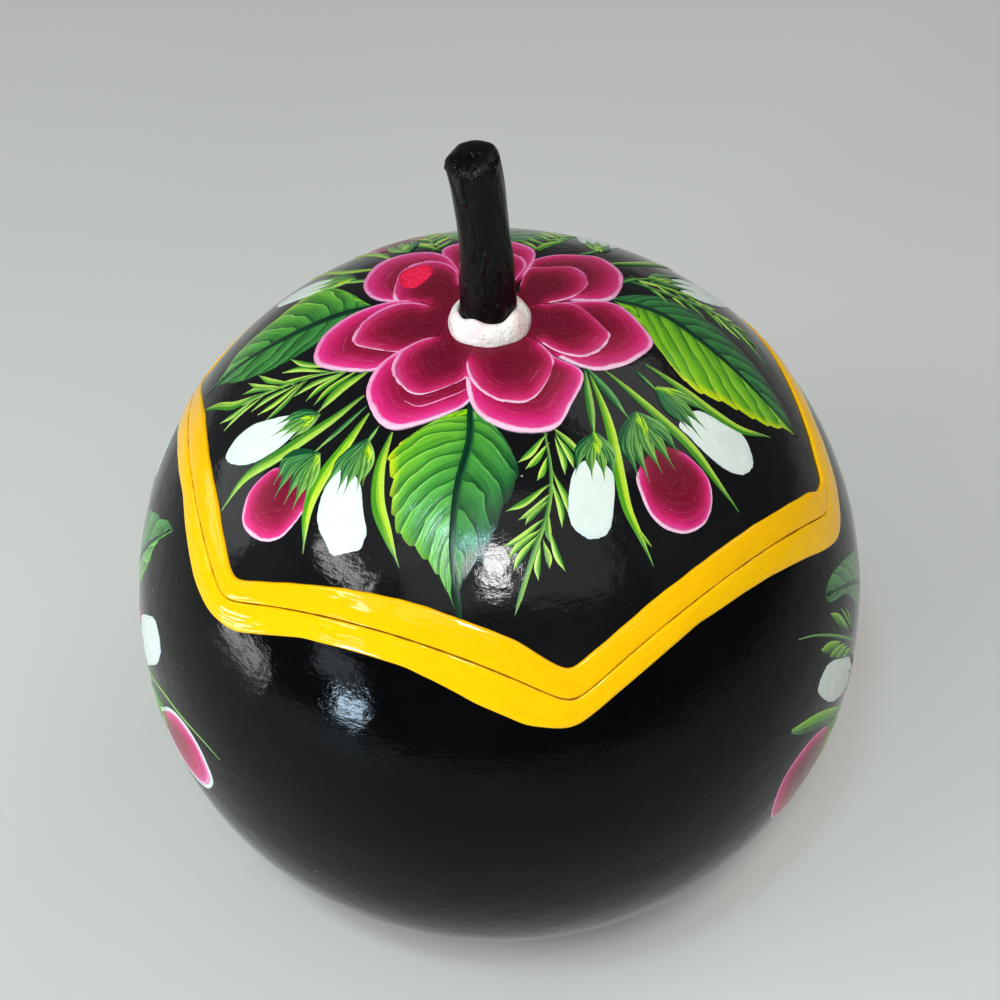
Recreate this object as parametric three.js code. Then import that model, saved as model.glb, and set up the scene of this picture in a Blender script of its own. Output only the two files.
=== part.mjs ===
// A round gourd box, cut into a bowl and a lift-off lid along a six-cornered zigzag.
// Millimetres, +Z up. The origin is the centre of the flat foot, and the front faces -Y.
import * as THREE from "three";

// The gourd's outline
const EQUATOR_RADIUS = 90;
const CROWN_HEIGHT = 89;
const CROWN_SQUARENESS = 2.09;
const KEEL_DEPTH = 78.5;
const FOOT_RADIUS = 27;
const WALL = 5;

// The zigzag cut: six straight edges on the surface, each with the way it faces seen from above
// and its distance from the top of the lid, measured along the surface
const RIM_EDGES = [
  { facing: 13, reach: 82.5 },
  { facing: 76, reach: 86 },
  { facing: 136, reach: 85.5 },
  { facing: 190, reach: 77.6 },
  { facing: 247, reach: 75 },
  { facing: 310, reach: 78 },
];
const CORNER_SHARPNESS = 42;
const SHARPNESS_LOST_PER_MM = 2.5;
const SEAM_GAP = 0.3;

// The two raised paint beads along the cut
const LID_BEAD_WIDTH = 5.6;
const BOWL_BEAD_WIDTH = 5.6;
const BEAD_HEIGHT = 0.8;

// The stem that serves as the handle, and the paste collar round its foot
const STEM_LENGTH = 45;
const STEM_BASE_RADIUS = 6.2;
const STEM_TIP_RADIUS = 5.5;
const STEM_EDGE_ROUNDING = 1;
const STEM_RIDGE_SHARE = 0.025;
const STEM_DRIFT = 1.3;
const STEM_BEND = 3.1;
const BEND_START_SHARE = 0.4;
const COLLAR_WIDTH = 2.6;
const COLLAR_HEIGHT = 5.6;
const COLLAR_LIP = 0.7;

// Room between pieces that touch on the real box
const CLEARANCE = 0.3;

const AROUND = 72;
const LID_ROWS = 9;
const ROWS_TO_EQUATOR = 8;
const ROWS_TO_RIM = 5;
const STEM_SIDES = 24;
const COLLAR_SIDES = 36;

const DEGREE = Math.PI / 180;
const EQUATOR_LEVEL = KEEL_DEPTH * Math.sqrt(1 - (FOOT_RADIUS / EQUATOR_RADIUS) ** 2);

// A point of the outline with its outward direction. The angle is 0 at the equator and 90 degrees at the top.
function outline(angle) {
  const upper = angle >= 0;
  const power = upper ? CROWN_SQUARENESS : 2;
  const reach = upper ? CROWN_HEIGHT : KEEL_DEPTH;
  const side = Math.abs(Math.cos(angle)) ** (2 / power);
  const rise = Math.abs(Math.sin(angle)) ** (2 / power);
  const outward = side ** (power - 1) / EQUATOR_RADIUS;
  const upward = (Math.sign(angle) * rise ** (power - 1)) / reach;
  const size = Math.hypot(outward, upward);
  return {
    r: EQUATOR_RADIUS * side,
    z: EQUATOR_LEVEL + Math.sign(angle) * reach * rise,
    outward: outward / size,
    upward: upward / size,
  };
}

// Surface lengths from the top of the lid, for angles from the top to the equator
function surfaceLengths(steps) {
  const table = [{ angle: Math.PI / 2, length: 0 }];
  let previous = outline(Math.PI / 2);
  for (let i = 1; i <= steps; i++) {
    const angle = (Math.PI / 2) * (1 - i / steps);
    const next = outline(angle);
    const length = table[i - 1].length + Math.hypot(next.r - previous.r, next.z - previous.z);
    table.push({ angle, length });
    previous = next;
  }
  return table;
}

const LENGTHS = surfaceLengths(900);

function angleAtLength(length) {
  let i = 1;
  while (i < LENGTHS.length - 1 && LENGTHS[i].length < length) i++;
  const before = LENGTHS[i - 1];
  const after = LENGTHS[i];
  const share = (length - before.length) / (after.length - before.length);
  return before.angle + (after.angle - before.angle) * share;
}

// Surface length from the top of the lid to a line that runs beside the cut. A positive offset is down the bowl,
// where the line takes the corners in a wider bow, and a negative one is up the lid.
function rimLength(azimuth, offset) {
  const sharpness = CORNER_SHARPNESS - SHARPNESS_LOST_PER_MM * offset;
  let sum = 0;
  for (const { facing, reach } of RIM_EDGES) {
    const lean = Math.cos(azimuth - facing * DEGREE);
    if (lean > 0) sum += (lean / (reach + offset)) ** sharpness;
  }
  return sum ** (-1 / sharpness);
}

// A point on the outline's surface, raised above it or sunk below it by a height
function surfacePoint(angle, azimuth, height) {
  const p = outline(angle);
  const r = p.r + height * p.outward;
  return [r * Math.cos(azimuth), r * Math.sin(azimuth), p.z + height * p.upward];
}

function ring(count, pointAt) {
  const points = [];
  for (let i = 0; i < count; i++) points.push(pointAt((2 * Math.PI * i) / count));
  return points;
}

function meshOf(name, material, positions, faces) {
  const geometry = new THREE.BufferGeometry();
  geometry.setAttribute("position", new THREE.Float32BufferAttribute(positions.flat(), 3));
  geometry.setIndex(faces.flat());
  geometry.computeVertexNormals();
  const mesh = new THREE.Mesh(geometry, material);
  mesh.name = name;
  return mesh;
}

// A closed body of stacked rings with a single point at each end. The rings run anticlockwise seen from above,
// and the first point lies at the top of the outside.
function ringBody(name, material, first, rings, last) {
  const count = rings[0].length;
  const positions = [first, ...rings.flat(), last];
  const end = positions.length - 1;
  const faces = [];
  const at = (row, i) => 1 + row * count + (i % count);
  for (let i = 0; i < count; i++) {
    faces.push([0, at(0, i), at(0, i + 1)]);
    faces.push([end, at(rings.length - 1, i + 1), at(rings.length - 1, i)]);
    for (let row = 0; row < rings.length - 1; row++) {
      faces.push([at(row, i), at(row + 1, i), at(row + 1, i + 1)]);
      faces.push([at(row, i), at(row + 1, i + 1), at(row, i + 1)]);
    }
  }
  return meshOf(name, material, positions, faces);
}

// A closed loop of equal sections, one for each step round the upright axis
function loopBody(name, material, count, sectionAt) {
  const sections = ring(count, sectionAt);
  const sides = sections[0].length;
  const faces = [];
  const at = (step, i) => (step % count) * sides + (i % sides);
  for (let step = 0; step < count; step++) {
    for (let i = 0; i < sides; i++) {
      faces.push([at(step, i), at(step + 1, i), at(step + 1, i + 1)]);
      faces.push([at(step, i), at(step + 1, i + 1), at(step, i + 1)]);
    }
  }
  return meshOf(name, material, sections.flat(), faces);
}

function material(colour, roughness) {
  return new THREE.MeshStandardMaterial({ color: colour, roughness, metalness: 0 });
}

const LACQUER = material(0x0c0c0e, 0.15);
const STEM_LACQUER = material(0x0a0a0b, 0.2);
const BEAD_PAINT = material(0xf4b800, 0.3);
const PASTE = material(0xe6d6cf, 0.6);

function lid() {
  const edgeAt = (azimuth) => rimLength(azimuth, -SEAM_GAP / 2);
  const row = (share, depth) =>
    ring(AROUND, (azimuth) => surfacePoint(angleAtLength(edgeAt(azimuth) * share), azimuth, -depth));
  const rings = [];
  for (let i = 1; i <= LID_ROWS; i++) rings.push(row(i / LID_ROWS, 0));
  for (let i = LID_ROWS; i >= 1; i--) rings.push(row(i / LID_ROWS, WALL));
  const top = surfacePoint(Math.PI / 2, 0, 0);
  const ceiling = surfacePoint(Math.PI / 2, 0, -WALL);
  return ringBody("lid", LACQUER, top, rings, ceiling);
}

function bowl() {
  const footAngle = -Math.acos(FOOT_RADIUS / EQUATOR_RADIUS);
  const rimAngle = (azimuth) => angleAtLength(rimLength(azimuth, SEAM_GAP / 2));
  const low = (share, depth) =>
    ring(AROUND, (azimuth) => surfacePoint(footAngle * (1 - share), azimuth, -depth));
  const high = (share, depth) =>
    ring(AROUND, (azimuth) => surfacePoint(rimAngle(azimuth) * share, azimuth, -depth));
  const rings = [];
  for (let i = 0; i < ROWS_TO_EQUATOR; i++) rings.push(low(i / ROWS_TO_EQUATOR, WALL));
  for (let i = 0; i <= ROWS_TO_RIM; i++) rings.push(high(i / ROWS_TO_RIM, WALL));
  for (let i = ROWS_TO_RIM; i >= 0; i--) rings.push(high(i / ROWS_TO_RIM, 0));
  for (let i = ROWS_TO_EQUATOR - 1; i >= 0; i--) rings.push(low(i / ROWS_TO_EQUATOR, 0));
  const floorLevel = rings[0][0][2];
  return ringBody("bowl", LACQUER, [0, 0, floorLevel], rings, [0, 0, 0]);
}

// A paint bead between two lines beside the cut, domed across its width
function rimBead(name, near, far) {
  const steps = 4;
  const sectionAt = (azimuth) => {
    const place = (share, height) => {
      const length = rimLength(azimuth, near + (far - near) * share);
      return surfacePoint(angleAtLength(length), azimuth, CLEARANCE + height);
    };
    const section = [];
    for (let i = 0; i <= steps; i++) section.push(place(i / steps, 0));
    for (let i = steps - 1; i > 0; i--) {
      section.push(place(i / steps, BEAD_HEIGHT * Math.sin((Math.PI * i) / steps) ** 0.7));
    }
    return far > near ? section : section.reverse();
  };
  return loopBody(name, BEAD_PAINT, AROUND, sectionAt);
}

function stem() {
  const base = EQUATOR_LEVEL + CROWN_HEIGHT + CLEARANCE;
  const tip = base + STEM_LENGTH;
  const ringAt = (level, radius) => {
    const share = (level - base) / STEM_LENGTH;
    const bent = Math.max(0, share - BEND_START_SHARE) / (1 - BEND_START_SHARE);
    const lean = STEM_DRIFT * share - STEM_BEND * bent ** 1.35;
    return ring(STEM_SIDES, (turn) => {
      const ridge = 1 + STEM_RIDGE_SHARE * Math.cos(5 * turn + 0.6);
      return [lean + radius * ridge * Math.cos(turn), radius * ridge * Math.sin(turn), level];
    });
  };
  const rings = [];
  rings.push(ringAt(tip, STEM_TIP_RADIUS - STEM_EDGE_ROUNDING));
  rings.push(ringAt(tip - 0.3 * STEM_EDGE_ROUNDING, STEM_TIP_RADIUS - 0.3 * STEM_EDGE_ROUNDING));
  rings.push(ringAt(tip - STEM_EDGE_ROUNDING, STEM_TIP_RADIUS));
  const rows = 8;
  for (let i = 1; i <= rows; i++) {
    const share = i / rows;
    const level = tip - STEM_EDGE_ROUNDING - (STEM_LENGTH - STEM_EDGE_ROUNDING) * share;
    rings.push(ringAt(level, STEM_TIP_RADIUS + (STEM_BASE_RADIUS - STEM_TIP_RADIUS) * share));
  }
  const middleOf = (points) => {
    const sum = points.reduce((s, p) => [s[0] + p[0], s[1] + p[1], s[2] + p[2]], [0, 0, 0]);
    return sum.map((v) => v / points.length);
  };
  return ringBody("stem", STEM_LACQUER, middleOf(rings[0]), rings, middleOf(rings[rings.length - 1]));
}

// The collar: a lumpy mound of paste that climbs from the lid to a thin lip round the foot of the stem
function stemCollar() {
  const inner = STEM_BASE_RADIUS * (1 + STEM_RIDGE_SHARE) + CLEARANCE;
  const steps = 4;
  const sectionAt = (azimuth) => {
    const width = COLLAR_WIDTH * (1 + 0.08 * Math.sin(3 * azimuth + 1) + 0.05 * Math.sin(7 * azimuth));
    const place = (length, height) => {
      const foot = surfacePoint(angleAtLength(length), azimuth, CLEARANCE);
      return [foot[0], foot[1], foot[2] + height];
    };
    const section = [];
    for (let i = 0; i <= steps; i++) section.push(place(inner + (width * i) / steps, 0));
    for (let i = steps - 1; i > 0; i--) {
      const length = inner + COLLAR_LIP + ((width - COLLAR_LIP) * i) / steps;
      section.push(place(length, COLLAR_HEIGHT * (1 - i / steps) ** 1.3));
    }
    section.push(place(inner + COLLAR_LIP, COLLAR_HEIGHT));
    section.push(place(inner, COLLAR_HEIGHT));
    return section;
  };
  return loopBody("stem_collar", PASTE, COLLAR_SIDES, sectionAt);
}

const group = new THREE.Group();
group.add(bowl());
group.add(lid());
group.add(rimBead("bowl_rim_bead", SEAM_GAP, SEAM_GAP + BOWL_BEAD_WIDTH));
group.add(rimBead("lid_rim_bead", -SEAM_GAP, -SEAM_GAP - LID_BEAD_WIDTH));
group.add(stem());
group.add(stemCollar());

export default group;
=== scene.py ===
"""Looks of the painted gourd box: black lacquer, yellow rim, painted flowers and leaves, collar and stem.

Lengths are in millimetres until a mesh is made. Painted shapes are laid out on flat maps of the surface: the
lid's map has the stem at (0, 0), x to the right and y to the back, and its distances are measured along the
surface.
"""

import math

import bpy
import numpy as np
from mathutils import Matrix, Vector


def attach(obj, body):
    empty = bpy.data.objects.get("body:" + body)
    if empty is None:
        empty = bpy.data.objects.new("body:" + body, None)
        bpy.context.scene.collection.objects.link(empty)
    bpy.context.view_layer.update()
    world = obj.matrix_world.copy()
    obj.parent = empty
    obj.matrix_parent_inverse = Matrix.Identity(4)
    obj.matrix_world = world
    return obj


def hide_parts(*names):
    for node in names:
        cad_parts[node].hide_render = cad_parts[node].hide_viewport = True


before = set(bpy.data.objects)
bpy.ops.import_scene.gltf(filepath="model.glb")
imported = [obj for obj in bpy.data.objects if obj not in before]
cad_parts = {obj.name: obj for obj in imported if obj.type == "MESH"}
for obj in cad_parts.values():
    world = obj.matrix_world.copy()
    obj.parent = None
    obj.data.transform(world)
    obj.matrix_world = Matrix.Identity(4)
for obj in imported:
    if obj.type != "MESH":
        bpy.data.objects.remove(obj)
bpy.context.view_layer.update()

MM = 0.001

# The gourd's outline, as in the CAD
EQUATOR_RADIUS = 90.0
CROWN_HEIGHT = 89.0
CROWN_SQUARENESS = 2.09
KEEL_DEPTH = 78.5
FOOT_RADIUS = 27.0
WALL = 5.0
EQUATOR_LEVEL = KEEL_DEPTH * math.sqrt(1 - (FOOT_RADIUS / EQUATOR_RADIUS) ** 2)
CROWN_LEVEL = EQUATOR_LEVEL + CROWN_HEIGHT

# The zigzag cut: the way each edge faces in degrees, and its distance from the stem along the surface
RIM_EDGES = ((13, 82.5), (76, 86), (136, 85.5), (190, 77.6), (247, 75), (310, 78))
CORNER_SHARPNESS = 42.0
SHARPNESS_LOST_PER_MM = 2.5
SEAM_GAP = 0.3

# The skin's slow unevenness, always inwards, so the box keeps its size. Round the equator the skin lies a
# little deeper, so that the paint on it stays inside that size too. Each lump is a count round the gourd, a
# length down it, a phase and a share.
LUMP_DEPTH = 0.3
EQUATOR_SINK = 0.3
LUMPS = ((5, 17.0, 0.4, 1.0), (8, 11.0, 2.1, 0.8), (13, 8.0, 4.0, 0.6), (3, 29.0, 1.2, 1.0))

# Points round the body, and rings down its inside and outside
BODY_STEPS = 432
LID_ROWS = 78
LID_INSIDE_ROWS = 40
BOWL_ROWS = 130
BOWL_INSIDE_ROWS = 60
UNDERSIDE_RADII = (26.6, 18.0, 8.0)

# The raised rim paint: how far from the cut each bead's outer edge runs, as azimuths in degrees with widths
BEAD_HEIGHT = 0.7
BEAD_WAVE = 0.22
BEAD_ROOT = 0.25
BEAD_STEPS = 1080
LID_BEAD_EDGE = ((0, 1.9), (34, 1.8), (50, 4.6), (130, 4.6), (146, 1.8), (156, 2.3), (166, 4.1), (178, 6.2),
                 (203, 6.5), (217, 4.6), (230, 5.5), (251, 7.4), (272, 7.4), (281, 5.6), (305, 5.6),
                 (338, 5.9), (343, 6.3), (348.5, 1.3), (352, 1.9))
BOWL_BEAD_EDGE = ((3, 5.1), (30, 5.6), (172, 5.7), (193, 4.4), (208, 7.0), (217, 5.8), (222, 6.8),
                  (234, 5.4), (254, 5.6), (265, 7.8), (273, 8.2), (283, 4.9), (305, 4.4), (322, 5.7),
                  (337, 7.4), (353, 8.4))

# The stem and its collar
STEM_LENGTH = 45.0
STEM_BASE_RADIUS = 6.2
STEM_TIP_RADIUS = 5.5
STEM_DRIFT = 1.3
STEM_BEND = 3.1
BEND_START_SHARE = 0.4
STEM_STEPS = 120
STEM_ROWS = 90
STEM_END_SHARES = (0.25, 0.5, 0.7, 0.82, 0.9, 0.95, 0.985)
COLLAR_WIDTH = 2.6
COLLAR_STEPS = 180

# Paint films: how far their undersides lie in the lacquer, the step between painted layers, how high each
# kind of shape starts above the skin, how far a leaf's lobes stand out, and the points that a shape has
FILM_ROOT = 0.12
LAYER = 0.022
STROKE_BASE = 0.03
LEAF_BASE = 0.04
DISC_BASE = 0.05
LEAF_BULGE = 0.05
STROKE_LANES = 7
LEAF_COLUMNS = 15
ROWS_PER_LOBE = 10
PAINT_KINDS = ("petals", "pink_buds", "white_buds", "leaves", "midribs", "strokes", "daub")

# The painted layer that each kind of shape lies on, from the first to the last that was painted
LEAF_LAYER = 1
SPRIG_LAYER = 2.5
LEAFLET_LAYER = 3
BUD_LAYER = 4
MIDRIB_LAYER = 4
BLADE_LAYER = 6.5
LID_CUP_LAYER = 7.5
SIDE_CUP_LAYER = 8
BLADE_TIP_LAYER = 8.2
FIRST_PETAL_LAYER = 9
HEART_LAYER = 25

# The bouquets on the bowl's sides: their flower's size against the lid's, how far it is moved back, and how
# much flatter their paint is, so that it stays inside the box's size
SIDE_SCALE = 0.70
SIDE_SHIFT = 5.0
SIDE_FLATNESS = 0.55

# How strongly each finish mirrors
LID_SHINE = 0.20
BOWL_SHINE = 0.11
STEM_SHINE = 0.12
PAINT_SHINE = 0.17
LEAF_SHINE = 0.32
BEAD_SHINE = 0.22

# The camera: the photograph's angle, distance and lens
CAMERA_ELEVATION = 49.3
CAMERA_DISTANCE = 450.0
CAMERA_ROLL = 2.68
CAMERA_TILT = 2.866
LENS = 63.6
SENSOR = 36.0

# The studio, in metres
FLOOR_RADIUS = 3.2
FLOOR_LEVEL = -0.0002
WORLD_STRENGTH = 0.15

# Each lamp: name, azimuth, elevation, distance, width, height, radiance and tint
WHITE = (1, 1, 1)
LAMPS = (
    ("key", -92, 58, 1.1, 0.12, 0.21, 62, WHITE),
    ("cool_key", -109, 64, 1.1, 0.095, 0.08, 76, (0.5, 0.95, 1.0)),
    ("key_haze", -86, 63, 1.3, 1.5, 0.8, 1.1, WHITE),
    ("left_box", -154, 40, 1.1, 0.38, 0.06, 25, WHITE),
    ("left_low", -167, -1, 0.9, 0.27, 0.08, 18, WHITE),
    ("left_haze", 164, 17, 1.1, 0.50, 0.34, 2.0, (0.92, 0.98, 1.0)),
    ("left_panel", -158, 54, 1.5, 0.8, 0.6, 0.6, WHITE),
    ("window", -133, 5, 1.1, 0.145, 0.085, 110, (0.6, 0.82, 1.0)),
    ("window_haze", -140, 15, 1.1, 0.28, 0.13, 5.0, (0.75, 0.88, 1.0)),
    ("fill", 30, 50, 1.6, 0.9, 0.9, 1.7, WHITE),
)

rng = np.random.default_rng(11)


# The gourd's surface


def outline(angle):
    """Radius, level and outward direction of the outline, from angle 0 at the equator up and down."""
    upper = angle >= 0
    power = np.where(upper, CROWN_SQUARENESS, 2.0)
    reach = np.where(upper, CROWN_HEIGHT, KEEL_DEPTH)
    side = np.abs(np.cos(angle)) ** (2 / power)
    rise = np.abs(np.sin(angle)) ** (2 / power)
    outward = side ** (power - 1) / EQUATOR_RADIUS
    upward = np.sign(angle) * rise ** (power - 1) / reach
    size = np.hypot(outward, upward)
    level = EQUATOR_LEVEL + np.sign(angle) * reach * rise
    return EQUATOR_RADIUS * side, level, outward / size, upward / size


ANGLES = np.linspace(math.pi / 2, -math.acos(FOOT_RADIUS / EQUATOR_RADIUS), 6001)
RADII, LEVELS, _, _ = outline(ANGLES)
LENGTHS = np.concatenate([[0], np.cumsum(np.hypot(np.diff(RADII), np.diff(LEVELS)))])
FOOT_LENGTH = LENGTHS[-1]
EQUATOR_LENGTH = float(np.interp(EQUATOR_LEVEL, LEVELS[::-1], LENGTHS[::-1]))


def lumps(length, azimuth):
    """How far the skin lies inside the true outline. It fades out at the stem and at the foot."""
    total = 0.0
    weight = 0.0
    for turns, wave_length, phase, share in LUMPS:
        total = total + share * np.sin(turns * azimuth + phase + 0.6 * np.sin(length / 40))
        total = total + share * np.sin(length / wave_length + 2 * phase + np.cos(turns * azimuth))
        weight += 2 * share
    fade = np.clip(length / 14, 0, 1) * np.clip((FOOT_LENGTH - length) / 12, 0, 1)
    waist = EQUATOR_SINK * np.exp(-(((length - EQUATOR_LENGTH) / 30) ** 2))
    return waist + LUMP_DEPTH * fade * (0.5 + 0.5 * total / weight)


def surface(length, azimuth, height=0.0):
    """Points at a surface length from the stem, round at an azimuth, raised above the skin by a height."""
    length, azimuth, height = np.broadcast_arrays(length, azimuth, height)
    radius, level, outward, upward = outline(np.interp(length, LENGTHS, ANGLES))
    height = height - lumps(length, azimuth)
    radius = radius + height * outward
    return np.stack([radius * np.cos(azimuth), radius * np.sin(azimuth), level + height * upward], -1)


def rim_length(azimuth, offset):
    """Surface length to a line beside the cut: a positive offset is down the bowl, a negative one up."""
    sharpness = CORNER_SHARPNESS - SHARPNESS_LOST_PER_MM * offset
    total = 0.0
    for facing, reach in RIM_EDGES:
        lean = np.clip(np.cos(azimuth - math.radians(facing)), 1e-9, 1)
        total = total + (lean / (reach + offset)) ** sharpness
    return total ** (-1 / sharpness)


def lid_place(spots, height):
    """From the lid's flat map to the lid."""
    x, y = spots[..., 0], spots[..., 1]
    return surface(np.hypot(x, y), np.arctan2(y, x), height)


def side_place(azimuth, length, mirrored=False):
    """From a flat map on the bowl's side, with its middle at an azimuth and a surface length, to the bowl."""
    turn = -1 if mirrored else 1

    def place(spots, height):
        lengths = length - spots[..., 1]
        radii = np.interp(lengths, LENGTHS, RADII)
        raised = np.where(height > 0, SIDE_FLATNESS * height, height)
        return surface(lengths, math.radians(azimuth) + turn * spots[..., 0] / radii, raised)

    return place


# Meshes


def ring_angles(count):
    return np.linspace(0, 2 * math.pi, count, endpoint=False)


def ring_faces(rows, count, closed=False):
    """Faces between rings of points that follow each other, and from last to first in a closed loop."""
    faces = []
    for row in range(rows if closed else rows - 1):
        after = (row + 1) % rows
        for i in range(count):
            j = (i + 1) % count
            faces.append((row * count + i, after * count + i, after * count + j, row * count + j))
    return faces


def closed_body(first, rings, last):
    """Points and faces of stacked rings with a single point at each end, the first point at the top."""
    rows = len(rings)
    count = len(rings[0])
    points = np.concatenate([np.concatenate(rings), [first], [last]])
    faces = ring_faces(rows, count)
    top = rows * count
    for i in range(count):
        j = (i + 1) % count
        faces.append((top, i, j))
        faces.append((top + 1, (rows - 1) * count + j, (rows - 1) * count + i))
    return points, faces


def closed_loop(sections):
    """Points and faces of sections that follow each other round a closed loop."""
    steps, sides, _ = sections.shape
    return sections.reshape(-1, 3), ring_faces(steps, sides, closed=True)


def make_piece(name, points, faces, material, body, nodes=(), attributes=None, crease=40):
    """A mesh object from points in millimetres, in its place, riding on its body."""
    mesh = bpy.data.meshes.new(name)
    mesh.from_pydata((np.asarray(points) * MM).tolist(), [], faces)
    mesh.polygons.foreach_set("use_smooth", [True] * len(mesh.polygons))
    mesh.update()
    mesh.set_sharp_from_angle(angle=math.radians(crease))
    for label, values in (attributes or {}).items():
        values = np.asarray(values, np.float32)
        kind, field = ("FLOAT", "value") if values.ndim == 1 else ("FLOAT_VECTOR", "vector")
        mesh.attributes.new(label, kind, "POINT").data.foreach_set(field, values.ravel())
    mesh.materials.append(material)
    piece = bpy.data.objects.new(name, mesh)
    bpy.context.scene.collection.objects.link(piece)
    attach(piece, body)
    if nodes:
        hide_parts(*nodes)
    return piece


# Painted shapes


class Films:
    """Thin closed layers of one kind of paint, gathered so that they make one piece."""

    def __init__(self):
        self.points = []
        self.faces = []
        self.brush = []
        self.tone = []
        self.warmth = []
        self.count = 0

    def add(self, points, faces, brush, tone, warmth):
        count = len(points)
        self.points.append(points)
        self.faces += [tuple(i + self.count for i in face) for face in faces]
        self.brush.append(brush)
        self.tone.append(np.broadcast_to(tone, count))
        self.warmth.append(np.broadcast_to(warmth, count))
        self.count += count

    def piece(self, name, material, body):
        marks = {"brush": self.brush, "tone": self.tone, "warmth": self.warmth}
        attributes = {label: np.concatenate(values) for label, values in marks.items()}
        points = np.concatenate(self.points)
        return make_piece(name, points, self.faces, material, body, attributes=attributes)


class Canvas:
    """A flat map of part of the surface, with the films of each kind of paint that are laid on its body."""

    def __init__(self, place, films=None):
        self.place = place
        self.films = films or {kind: Films() for kind in PAINT_KINDS}


def smooth_curve(points, count, closed=False):
    """Evenly spaced points on a smooth curve through the given points."""
    points = np.asarray(points, float)
    if closed:
        knots = np.concatenate([points[-1:], points, points[:2]])
    else:
        knots = np.concatenate([2 * points[:1] - points[1:2], points, 2 * points[-1:] - points[-2:-1]])
    t = np.linspace(0, 1, 13)[:-1, None]
    pieces = []
    for i in range(len(knots) - 3):
        a, b, c, d = knots[i : i + 4]
        cubic = 2 * b + (c - a) * t + (2 * a - 5 * b + 4 * c - d) * t**2 + (3 * b - a - 3 * c + d) * t**3
        pieces.append(0.5 * cubic)
    curve = np.concatenate(pieces + [knots[-2:-1]])
    steps = np.hypot(*np.diff(curve, axis=0).T)
    along = np.concatenate([[0], np.cumsum(steps)])
    wanted = np.linspace(0, along[-1], count, endpoint=not closed)
    return np.stack([np.interp(wanted, along, curve[:, 0]), np.interp(wanted, along, curve[:, 1])], -1)


def along_curve(points, shares):
    """Points at shares of the length of a smooth curve."""
    fine = smooth_curve(points, 161)
    steps = np.linspace(0, 1, len(fine))
    return np.stack([np.interp(shares, steps, fine[:, 0]), np.interp(shares, steps, fine[:, 1])], -1)


def turned_left(directions):
    return np.stack([-directions[..., 1], directions[..., 0]], -1)


def signed_area(loop):
    x, y = loop[:, 0], loop[:, 1]
    return 0.5 * np.sum(x * np.roll(y, -1) - y * np.roll(x, -1))


def sweep(canvas, kind, spots, tops, brush, tone, warmth):
    """A film from a grid of map points: along its first axis and across its second."""

    def both_sides(values):
        return np.concatenate([values, values[:, ::-1]], 1)

    rows, across, _ = spots.shape
    upper = canvas.place(spots, tops)
    lower = canvas.place(spots, np.full(tops.shape, -FILM_ROOT))
    sections = np.concatenate([upper, lower[:, ::-1]], 1)
    sides = 2 * across
    faces = ring_faces(rows, sides)
    faces.append(tuple(range(sides)))
    faces.append(tuple(reversed(range((rows - 1) * sides, rows * sides))))
    edge = np.concatenate([spots[:, 0], spots[::-1, -1]])
    if signed_area(edge) < 0:
        faces = [face[::-1] for face in faces]
    tone, warmth = (both_sides(np.broadcast_to(value, tops.shape)).ravel() for value in (tone, warmth))
    canvas.films[kind].add(sections.reshape(-1, 3), faces, both_sides(brush).reshape(-1, 3), tone, warmth)


def lens_width(share, peak, start, end, fullness):
    """Half-width of a brush stroke along its length, as a share of its largest."""
    rise = start + (1 - start) * np.sin(math.pi / 2 * np.clip(share / peak, 0, 1)) ** fullness
    fall = end + (1 - end) * np.cos(math.pi / 2 * np.clip((share - peak) / (1 - peak), 0, 1)) ** fullness
    return np.where(share < peak, rise, fall)


def stroke(canvas, path, width, layer, tone=0.5, warmth=0.5, peak=0.5, start=0.04, end=0.03, thickness=0.05,
           fullness=0.85, bright_left=True, kind="strokes"):
    """One brush stroke along a path, widest at its peak."""
    centre = smooth_curve(path, 3 * len(path) + 4)
    share = np.linspace(0, 1, len(centre))
    direction = np.gradient(centre, axis=0)
    direction /= np.hypot(direction[:, 0], direction[:, 1])[:, None]
    half = 0.5 * width * np.maximum(lens_width(share, peak, start, end, fullness), 0.03)
    lanes = np.linspace(-1, 1, STROKE_LANES)
    spots = centre[:, None] + turned_left(direction)[:, None] * (half[:, None] * lanes)[..., None]
    base = layer * LAYER + STROKE_BASE
    tops = base + thickness * (1 - lanes[None] ** 2) * np.clip(half / 0.6, 0.25, 1)[:, None]
    tops[:, 0] = tops[:, -1] = base - 0.015
    across = (lanes if bright_left else -lanes) * 0.5 + 0.5
    seed = rng.uniform(0, 40)
    brush = np.stack(np.broadcast_arrays(share[:, None], across[None], seed), -1)
    sweep(canvas, kind, spots, tops, brush, tone, warmth)


def midrib(canvas, path, width, layer=MIDRIB_LAYER, tone=0.2, peak=0.25, start=0.5, end=0.1):
    stroke(canvas, path, width, layer, tone=tone, peak=peak, start=start, end=end, kind="midribs")


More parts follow.
